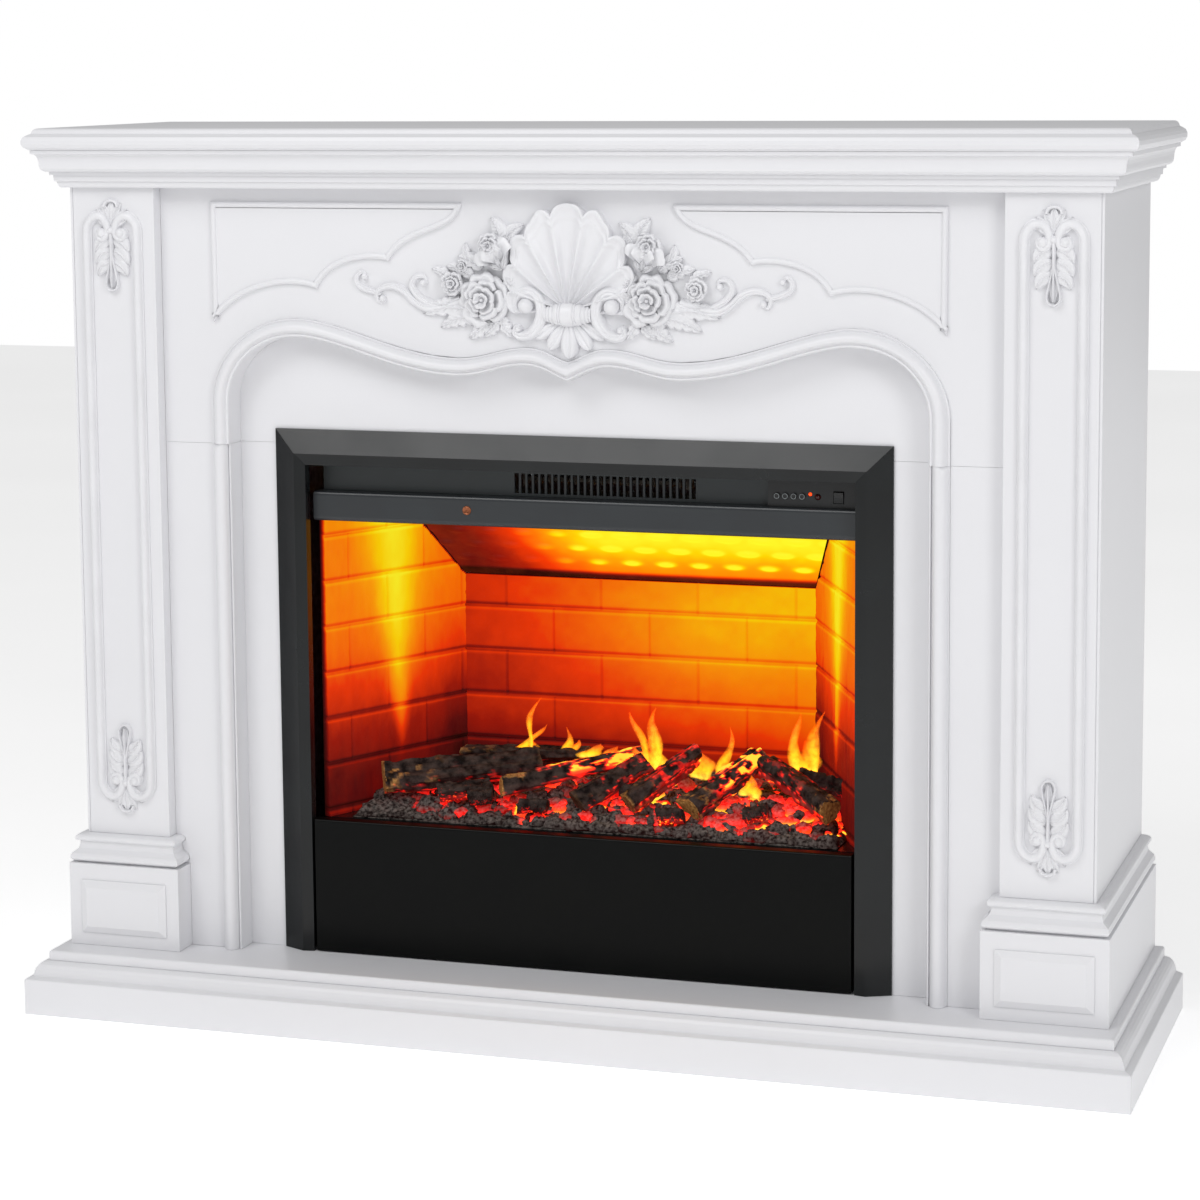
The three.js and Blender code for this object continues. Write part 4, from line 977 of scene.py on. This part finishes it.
# The reflector's lower back edge and upper front edge: half its length, its distance and its level.
REFLECTOR_LOW, REFLECTOR_HIGH = (250, 169.0, 558.5), (306, 52.5, 690.5)
REFLECTOR_SLOPE = 175.0  # about how far it is from the one edge to the other
DIMPLE_PITCH, DIMPLE_HALF, DIMPLE_TALL, DIMPLE_DEEP = 48.0, 13, 5.5, 2.2
DIMPLE_ROWS = ((0.20, 0.0), (0.36, 0.5), (0.52, 0.0), (0.68, 0.5))  # how far up the slope, and the stagger


def reflector_body():
    """The sloped sheet over the fire: a trapezium pressed into staggered rows of oval dimples."""
    u, v = np.meshgrid(np.linspace(-1, 1, 240), np.linspace(0, 1, 76))
    half, y, z = (low + (high - low) * v for low, high in zip(REFLECTOR_LOW, REFLECTOR_HIGH))
    x = u * half
    dish = np.zeros_like(u)
    for at, shift in DIMPLE_ROWS:
        near = (x / DIMPLE_PITCH + shift) - np.round(x / DIMPLE_PITCH + shift)
        across, up = near * DIMPLE_PITCH / DIMPLE_HALF, (v - at) * REFLECTOR_SLOPE / DIMPLE_TALL
        dish += np.exp(-((across**2 + up**2) ** 1.5))
    normal = np.array([0, REFLECTOR_LOW[2] - REFLECTOR_HIGH[2], REFLECTOR_HIGH[1] - REFLECTOR_LOW[1]])
    normal /= np.linalg.norm(normal)
    front = np.stack([x, y, z], -1) + normal * (dish * DIMPLE_DEEP)[..., None]
    back = np.stack([x, y, z], -1) - normal * 2.4
    # The glow is painted light: the lamps' light on the sheet, brighter to the right and up the slope, dark
    # along its low back edge, with painted highlights on the dimples and a faint random tone.
    wash = 0.20 + 0.78 * smooth(-0.95, -0.05, u) * (0.62 + 0.38 * smooth(0.05, 0.5, v))
    wash -= 0.55 * (1 - smooth(0.02, 0.10, v))
    glow = np.clip(wash + 0.34 * dish * smooth(-0.7, 0.1, u) + 0.02 * grain(*u.shape, (8, 20), 3, 3), 0, 1)
    return closed_pair(front, back), front_only(glow)


sheet, glow = reflector_body()
piece("dimpled_reflector", sheet, REFLECTOR_LIT, replaces=["ceiling_reflector"],
      values={"glow": glow})

# ---------------------------------------------------------------- ember bed, logs and flames


BED_HALF, BED_FRONT, BED_BACK = 334, -53.5, 159.5
BED_UNDER, BED_THIN = 256.5, 257.4  # underside, and the lowest that its surface goes


def bed_height(x, y):
    """Level of the ember bed: a low front edge that climbs in a soft bank, with hollows and humps."""
    bank = 258 + 26 * smooth(-54, 10, y) + 12 * smooth(0, 110, y) - 16 * smooth(120, 160, y)
    edge = np.minimum(335 - np.abs(x), 60) / 60
    return 256.6 + (bank - 256.6) * np.clip(edge, 0, 1) ** 0.55


def heat_at(x, y):
    """How hot the bed is: glowing in the middle band, most of all to the right, ash along the front."""
    band = smooth(-50, -30, y) * (1 - smooth(95, 140, y))
    return band * (0.62 + 0.34 * smooth(-240, 60, x)) * smooth(-330, -240, x)


def bed_body():
    """The bed itself: a grid over its plan, lifted by the bank and a crumbly grain, over a flat underside."""
    x, y = np.meshgrid(np.linspace(-BED_HALF, BED_HALF, 300), np.linspace(BED_FRONT, BED_BACK, 100))
    crumb = grain(*x.shape, (14, 42), 77, 4)
    deep = BED_BACK - BED_FRONT
    rim = smooth(0, 0.05, 1 - np.abs(x) / BED_HALF)
    rim = rim * smooth(0, 0.05, (y - BED_FRONT) / deep) * smooth(0, 0.05, (BED_BACK - y) / deep)
    top = bed_height(x, y) + crumb * 5.0 * rim
    front = np.stack([x, y, np.maximum(top, BED_THIN)], -1)
    back = np.stack([x, y, 0 * x + BED_UNDER], -1)
    hot = heat_at(x, y) * smooth(-0.3, 0.9, -crumb) * 1.35
    return closed_pair(front, back), front_only(hot)


LUMP_RINGS, LUMP_SIDES = 6, 8


def lumps(count, seed):
    """Coals strewn over the bed: small squashed balls with knobbly sides, turned and sized at random, of a
    few dozen faces each. A lump's heat follows the place where it lies."""
    dice = np.random.default_rng(seed)
    x, y = dice.uniform(-322, 322, count), -46 + 190 * dice.uniform(0, 1, count) ** 1.7
    size = dice.uniform(4.5, 11.5, count) * (1 + 0.35 * (dice.uniform(0, 1, count) > 0.9))
    latitude = np.linspace(-1.45, 1.45, LUMP_RINGS)[None, :, None]
    turn = np.linspace(0, 2 * math.pi, LUMP_SIDES + 1)[None, None, :-1]
    knob = 1 + dice.uniform(-0.26, 0.26, (count, LUMP_RINGS, LUMP_SIDES))
    squash = dice.uniform(0.55, 0.95, (count, 1, 1))
    spin = dice.uniform(0, 6.28, (count, 1, 1))
    radius = size[:, None, None] * knob
    long = dice.uniform(0.8, 1.5, (count, 1, 1))
    px = x[:, None, None] + radius * np.cos(latitude) * np.cos(turn + spin) * long
    py = y[:, None, None] + radius * np.cos(latitude) * np.sin(turn + spin)
    pz = (bed_height(x, y) + size * 0.25)[:, None, None] + radius * squash * np.sin(latitude) + 0 * turn
    points = np.stack([px, np.clip(py, -56, 164), np.maximum(pz, 256.8)], -1)
    start = (np.arange(count) * LUMP_RINGS * LUMP_SIDES)[:, None, None]
    faces = [(group[None] + start).reshape(-1, group.shape[1])
             for group in tube_faces(LUMP_RINGS, LUMP_SIDES)]
    hot = heat_at(x, y) * (0.15 + 0.92 * dice.uniform(0, 1, count) ** 0.7)
    hot = np.where(dice.uniform(0, 1, count) < 0.34, 0.06, hot)
    lit = hot[:, None, None] * (1.0 - 0.45 * np.clip(np.sin(latitude), 0, 1)) + 0 * radius
    return (points.reshape(-1, 3), faces), lit.ravel()


body, values = together([bed_body(), lumps(760, 12)], "ember")
piece("ember_bed", body, EMBERS, "fuel_bed", ["log_bed"], values=values)


def log_body(start, end, radius, taper, seed, hot, pale_start=1.0, pale_end=0.2, lit=0.0):
    """A split log along a straight axis. Its section is a rounded wedge, it is scored along the grain by
    stretched noise, and both ends are sawn a little askew. Gives the body, its heat and its pale wood."""
    start, end = np.array(start, float), np.array(end, float)
    rows, columns = 74, 48
    axis = (end - start) / np.linalg.norm(end - start)
    flat = np.cross(axis, [0, 0, 1.0])
    flat /= np.linalg.norm(flat)
    over = np.cross(flat, axis)
    turn = np.linspace(0, 2 * math.pi, columns, endpoint=False)[None, :]
    along = np.linspace(0, 1, rows)[:, None]
    phase = np.random.default_rng(seed).uniform(0, 6.28, 3)
    section = 1 + 0.15 * np.cos(3 * turn + phase[0]) + 0.08 * np.cos(2 * turn + phase[1])
    section = section + 0.05 * np.cos(5 * turn + phase[2])
    bark = grain(rows, columns, (5, 22), seed, 3, True)
    chips = grain(rows, columns, (13, 12), seed + 3, 3, True)
    cracks = np.clip(0.28 - np.abs(bark), 0, 1) / 0.28
    reach = radius * (1 - taper * along) * section * (1 + 0.10 * bark + 0.07 * chips)
    reach = reach - 1.8 * cracks * (radius / 20)
    sway = radius * 0.22 * np.sin(math.pi * along * 1.3 + phase[0])
    shrink = np.array([0.25, 0.62, 0.93])
    place = start + along[..., None] * (end - start) + sway[..., None] * flat
    skew = 0.22 * reach * np.sin(turn + phase[1])
    wall = place + reach[..., None] * (np.cos(turn)[..., None] * flat + np.sin(turn)[..., None] * over)
    first = wall[0] + skew[0][:, None] * axis
    last = wall[-1] + skew[-1][:, None] * axis
    centre_first, centre_last = first.mean(0), last.mean(0)
    caps_first = centre_first + (first - centre_first) * shrink[:, None, None]
    caps_last = centre_last + (last - centre_last) * shrink[::-1, None, None]
    rings = np.concatenate([caps_first, first[None], wall[1:-1], last[None], caps_last])
    rings[..., 2] = np.maximum(rings[..., 2], 257.5)
    under = 1 - smooth(-0.8, 0.35, np.sin(turn))
    flare = smooth(-0.35, 0.45, chips + 0.5 * bark) * (1 - under) * smooth(0.15, 0.45, along) * lit
    heat = hot * (under * 0.95 + 0.05) * (0.45 + 0.8 * cracks)
    heat = heat + hot * 0.45 * cracks * smooth(0.0, 0.7, chips) + flare * 1.5
    peel = smooth(0.35, 0.75, chips) * smooth(0.45, 0.05, along) * 0.8 * pale_start
    full_heat = np.concatenate([np.repeat(heat[:1] * 0.2, 3, 0), heat, np.repeat(heat[-1:] * 0.5, 3, 0)])
    full_cut = np.concatenate([np.full((4, columns), pale_start), peel[1:-1],
                               np.full((4, columns), pale_end)])
    return wrapped_tube(rings), full_heat.ravel(), full_cut.ravel()


def log_pile(name, rows, node):
    """Several logs as one piece in place of one CAD log."""
    body, values = together([log_body(*row) for row in rows], "ember", "cut")
    piece(name, body, LOG_FINISH, "fuel_bed", [node], values=values)


# Each log has its two ends, radius, taper, seed and heat, how much pale wood shows at its start and at its
# end, and how much of its top is alight.
log_pile("split_logs_left", [
    ((-300, -22, 304), (-100, 42, 322), 21, 0.12, 3, 0.55, 1.0, 0.1),
    ((-215, 60, 326), (-45, 82, 330), 14, 0.10, 5, 0.30, 0.5, 0.2),
    ((-132, -28, 306), (34, 68, 336), 13.5, 0.05, 8, 0.55, 1.0, 0.2, 0.65),
    ((-24, -32, 290), (52, 42, 332), 15, 0.10, 11, 0.75, 0.1, 0.1, 0.2),
    ((-218, -34, 292), (-150, -14, 303), 12, 0.15, 14, 0.75, 0.0, 0.0),
    ((-172, -40, 293), (-140, -38, 296), 13, 0.05, 17, 0.4, 0.0, 0.0),
    ((-100, -43, 284), (-62, -40, 285), 10, 0.05, 19, 0.6, 0.0, 0.0),
], "log_left")
log_pile("split_logs_right", [
    ((50, -34, 294), (115, 56, 350), 14.5, 0.05, 23, 0.65, 0.6, 0.5, 0.3),
    ((136, -40, 294), (202, 52, 350), 15.5, 0.08, 27, 0.5, 1.0, 0.4, 0.7),
    ((322, -36, 302), (214, 42, 341), 16, 0.05, 31, 0.75, 1.0, 0.1, 0.2),
    ((262, 46, 324), (332, 36, 310), 13, 0.10, 35, 0.6, 0.1, 0.0),
    ((92, -45, 283), (126, -42, 285), 10, 0.10, 39, 0.8, 0.0, 0.0),
    ((208, -40, 290), (236, -34, 296), 11, 0.10, 41, 0.8, 0.0, 0.0),
    ((24, 6, 300), (60, 10, 303), 12, 0.10, 43, 0.9, 0.0, 0.0),
], "log_right")


def tongue(root, tip, half_width, swing, seed):
    """One tongue of flame: a thin leaf of light that snakes from root to tip and thins out upwards. Gives
    the body, its height share and how solid it is."""
    root, tip = np.array(root, float), np.array(tip, float)
    v = np.linspace(0, 1, 34)[:, None]
    u = np.linspace(-1, 1, 11)[None, :]
    phase = np.random.default_rng(seed).uniform(0, 6.28, 2)
    snake = swing * np.sin(v * 5.2 + phase[0]) * v**0.8
    swell = np.sin(math.pi * (0.16 + 0.84 * v)) ** 0.9 + 0.02
    wide = half_width * swell * (1 + 0.22 * np.sin(v * 9 + phase[1]))
    x = root[0] + (tip[0] - root[0]) * v + snake + wide * u
    y = root[1] + (tip[1] - root[1]) * v + 3.5 * np.cos(v * 4 + phase[1]) * u + 2 * (1 - u**2)
    z = root[2] + (tip[2] - root[2]) * v + 0 * u
    front = np.stack([x, y, z], -1)
    solid = np.clip(1 - np.abs(u) ** 1.6, 0, 1) * smooth(0.0, 0.10, v) * (1 - 0.72 * v**1.3) * 0.95
    return closed_pair(front, front + [0, 1.2, 0]), np.tile((v + 0 * u).ravel(), 2), np.tile(solid.ravel(), 2)


# Roots and tips in millimetres, half width, swing of the snake, and a seed for its phase.
FLAMES = {
    "flames_left": [
        ((-140, 62, 324), (-104, 66, 372), 8, 7, 1), ((-124, 64, 326), (-112, 68, 408), 5, 10, 2),
        ((-112, 66, 326), (-122, 70, 350), 12, 4, 3), ((-158, 60, 324), (-130, 64, 344), 9, 3, 4),
        ((-74, 68, 328), (-68, 72, 368), 6, 6, 5), ((-62, 66, 328), (-58, 70, 352), 7, 5, 6),
        ((-42, 60, 330), (-22, 62, 350), 15, 4, 7), ((-12, 52, 322), (2, 54, 350), 14, 5, 8),
        ((24, 50, 318), (34, 54, 350), 13, 5, 9),
    ],
    "flames_right": [
        ((42, 60, 318), (30, 62, 396), 8, 10, 10), ((56, 60, 318), (60, 62, 404), 8, 10, 11),
        ((66, 58, 318), (52, 62, 372), 11, 7, 12), ((50, 56, 316), (44, 60, 350), 16, 5, 13),
        ((130, 46, 312), (124, 48, 352), 15, 5, 14), ((150, 46, 312), (164, 50, 386), 7, 8, 15),
        ((116, 48, 314), (108, 50, 344), 13, 4, 16), ((190, 22, 300), (198, 24, 334), 10, 4, 17),
        ((206, 20, 298), (202, 24, 322), 9, 3, 18), ((256, 58, 318), (248, 60, 408), 9, 9, 19),
        ((274, 58, 318), (284, 60, 412), 8, 9, 20), ((264, 56, 318), (266, 60, 372), 16, 5, 21),
    ],
}
for name, tongues in FLAMES.items():
    body, values = together([tongue(*row) for row in tongues], "height", "body")
    piece(name, body, FLAME, "fuel_bed", values=values)

# ---------------------------------------------------------------- small things on the insert


def turned_body(centre, face, rows, steps=48):
    """A round piece that faces the room: rows of (radius, height) turned about its own axis."""
    turn = np.linspace(0, 2 * math.pi, steps + 1)[:-1]
    x, z = np.cos(turn), np.sin(turn)
    rings = [np.stack([centre[0] + r * x, 0 * x + face - h, centre[1] + r * z], -1) for r, h in rows]
    return wrapped_tube(np.stack(rings))


# A small disc with a raised rim, as rows of radius and height.
BADGE = ((6.0, -0.3), (6.0, 0.4), (5.7, 0.75), (4.9, 0.75), (4.5, 0.35), (1.2, 0.35), (0.05, 0.35))
HEADER_FACE = corners("header_bar")[0][1]
piece("round_badge", turned_body((-151, 684), HEADER_FACE, BADGE), COPPER)


# Dark button cap with a fine pale ring printed just inside its edge.
RINGED = overlaid(finish_of("ringed_button_cap", "#131415", "#191A1B", 2, 0.38, 0.05, 0.01, 0.6), "ring",
                  linear("#8C9294"))
CAP_STEPS = 36
# Section of a button cap: share of its radius, height, and whether the pale ring is printed there.
CAP_ROWS = ((0.68, -5.5, 0), (0.68, -1.6, 0), (1.0, -1.6, 0), (1.0, -0.35, 0), (0.95, -0.1, 0),
            (0.86, 0.0, 1), (0.80, 0.0, 1), (0.72, 0.0, 0), (0.45, -0.12, 0))
for name in ("flame", "heat", "timer", "light"):
    low, high = corners(f"{name}_button")
    centre, radius = (low[[0, 2]] + high[[0, 2]]) / 2, (high[0] - low[0]) / 2
    rows = [(radius * share, height) for share, height, _ in CAP_ROWS] + [(0.05, -0.2)]
    ring = [printed for _, _, printed in CAP_ROWS] + [0]
    piece(f"{name}_button_cap", turned_body(centre, low[1], rows, CAP_STEPS), RINGED, f"button_{name}",
          [f"{name}_button"], values={"ring": np.repeat(np.array(ring, float), CAP_STEPS)})
